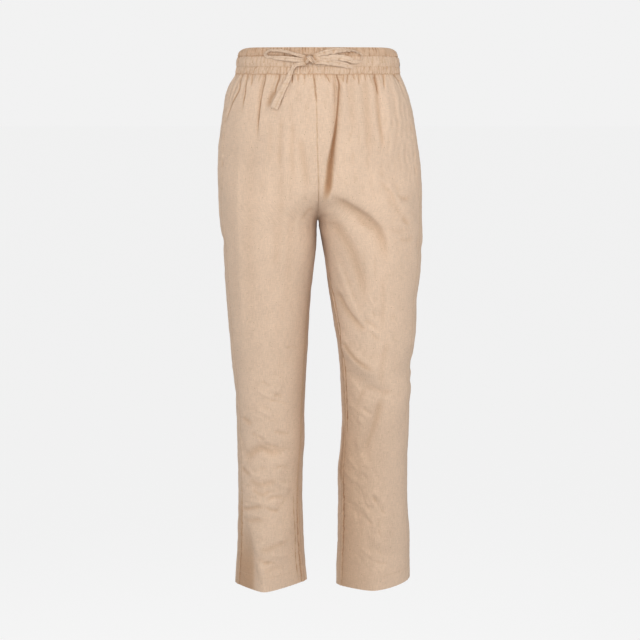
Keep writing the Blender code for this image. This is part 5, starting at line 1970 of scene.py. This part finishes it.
thread = thread_finish()
for piece in [*panels.values(), band]:
    dress(piece, finishes["linen"])
for piece in bpy.data.objects:
    if piece.name.startswith("cloth_pocket_bag"):
        dress(piece, finishes["pocketing"])
for piece in [*tie_pieces.values(), core, *wraps]:
    dress(piece, finishes["tie"])
for piece, _ in stitch_rows + details:
    dress(piece, thread)
print("finishes:", [m.name for m in finishes.values()], thread.name)

# %% [markdown]
# ## Floor and light
# A pale floor lies far below, so that the trousers seem to hang in even light. Part of that
# light is the pale room itself. Two lamps on the wearer's left and two on the right draw the
# folds, and a large one beside the camera reaches between the legs. They are nearer to the
# waist, so the hems are darker. One more lights the seat from behind.

# %% Floor and light
ROOM_COLOUR = (0.887, 0.887, 0.887)
FLOOR_COLOUR = (0.10, 0.10, 0.10)
FLOOR_GLOW = 0.85
FLOOR_LIGHT = 0.40
FLOOR_HEIGHT = -2.2
LAMP_AIM = (0.0, 0.0, -0.45)
# Name, place, power and width of each lamp.
LAMPS = [("key_lamp", (1.45, -1.60, 0.75), 14.0, 1.6),
         ("side_lamp", (2.20, -0.60, 0.30), 12.5, 1.8),
         ("fill_lamp", (-1.45, -1.60, 0.75), 16.5, 1.8),
         ("far_lamp", (-2.20, -0.60, 0.30), 7.0, 1.8),
         ("front_lamp", (0.10, -3.00, 0.00), 50.0, 2.8),
         ("back_lamp", (-0.90, 2.60, 0.80), 42.0, 1.8)]
ROOM_LIGHT = 0.30

deselect_all()
bpy.ops.mesh.primitive_plane_add(size=60.0, location=(0, 20, FLOOR_HEIGHT))
floor = bpy.context.active_object
floor.name = "studio_floor"
paint, tree, shader = new_material("pale_floor")
seen = tree.nodes.new("ShaderNodeLightPath").outputs["Is Camera Ray"]
glow = remap(tree, seen, 0.0, 1.0, FLOOR_LIGHT, FLOOR_GLOW)
fill(tree, shader, Base_Color=(*FLOOR_COLOUR, 1), Roughness=1.0, Specular_IOR_Level=0.0,
     Emission_Color=(1.0, 1.0, 1.0, 1), Emission_Strength=glow)
dress(floor, paint)

room = bpy.data.worlds.new("pale_room")
room.use_nodes = True
tree = room.node_tree
seen = tree.nodes.new("ShaderNodeLightPath").outputs["Is Camera Ray"]
strength = remap(tree, seen, 0.0, 1.0, ROOM_LIGHT, 1.0)
fill(tree, tree.nodes["Background"], Color=(*ROOM_COLOUR, 1), Strength=strength)
bpy.context.scene.world = room
bpy.context.scene.view_settings.view_transform = "Standard"


def soft_lamp(name, place, power, size):
    """A square lamp turned to LAMP_AIM."""
    way = Vector(LAMP_AIM) - Vector(place)
    bpy.ops.object.light_add(
        type="AREA", location=place, rotation=way.to_track_quat("-Z", "Y").to_euler())
    lamp = bpy.context.active_object
    lamp.name = name
    lamp.data.size = size
    lamp.data.energy = power


for lamp in LAMPS:
    soft_lamp(*lamp)
print("lamps:", ", ".join(f"{name} {power:.0f} W" for name, _, power, _ in LAMPS))
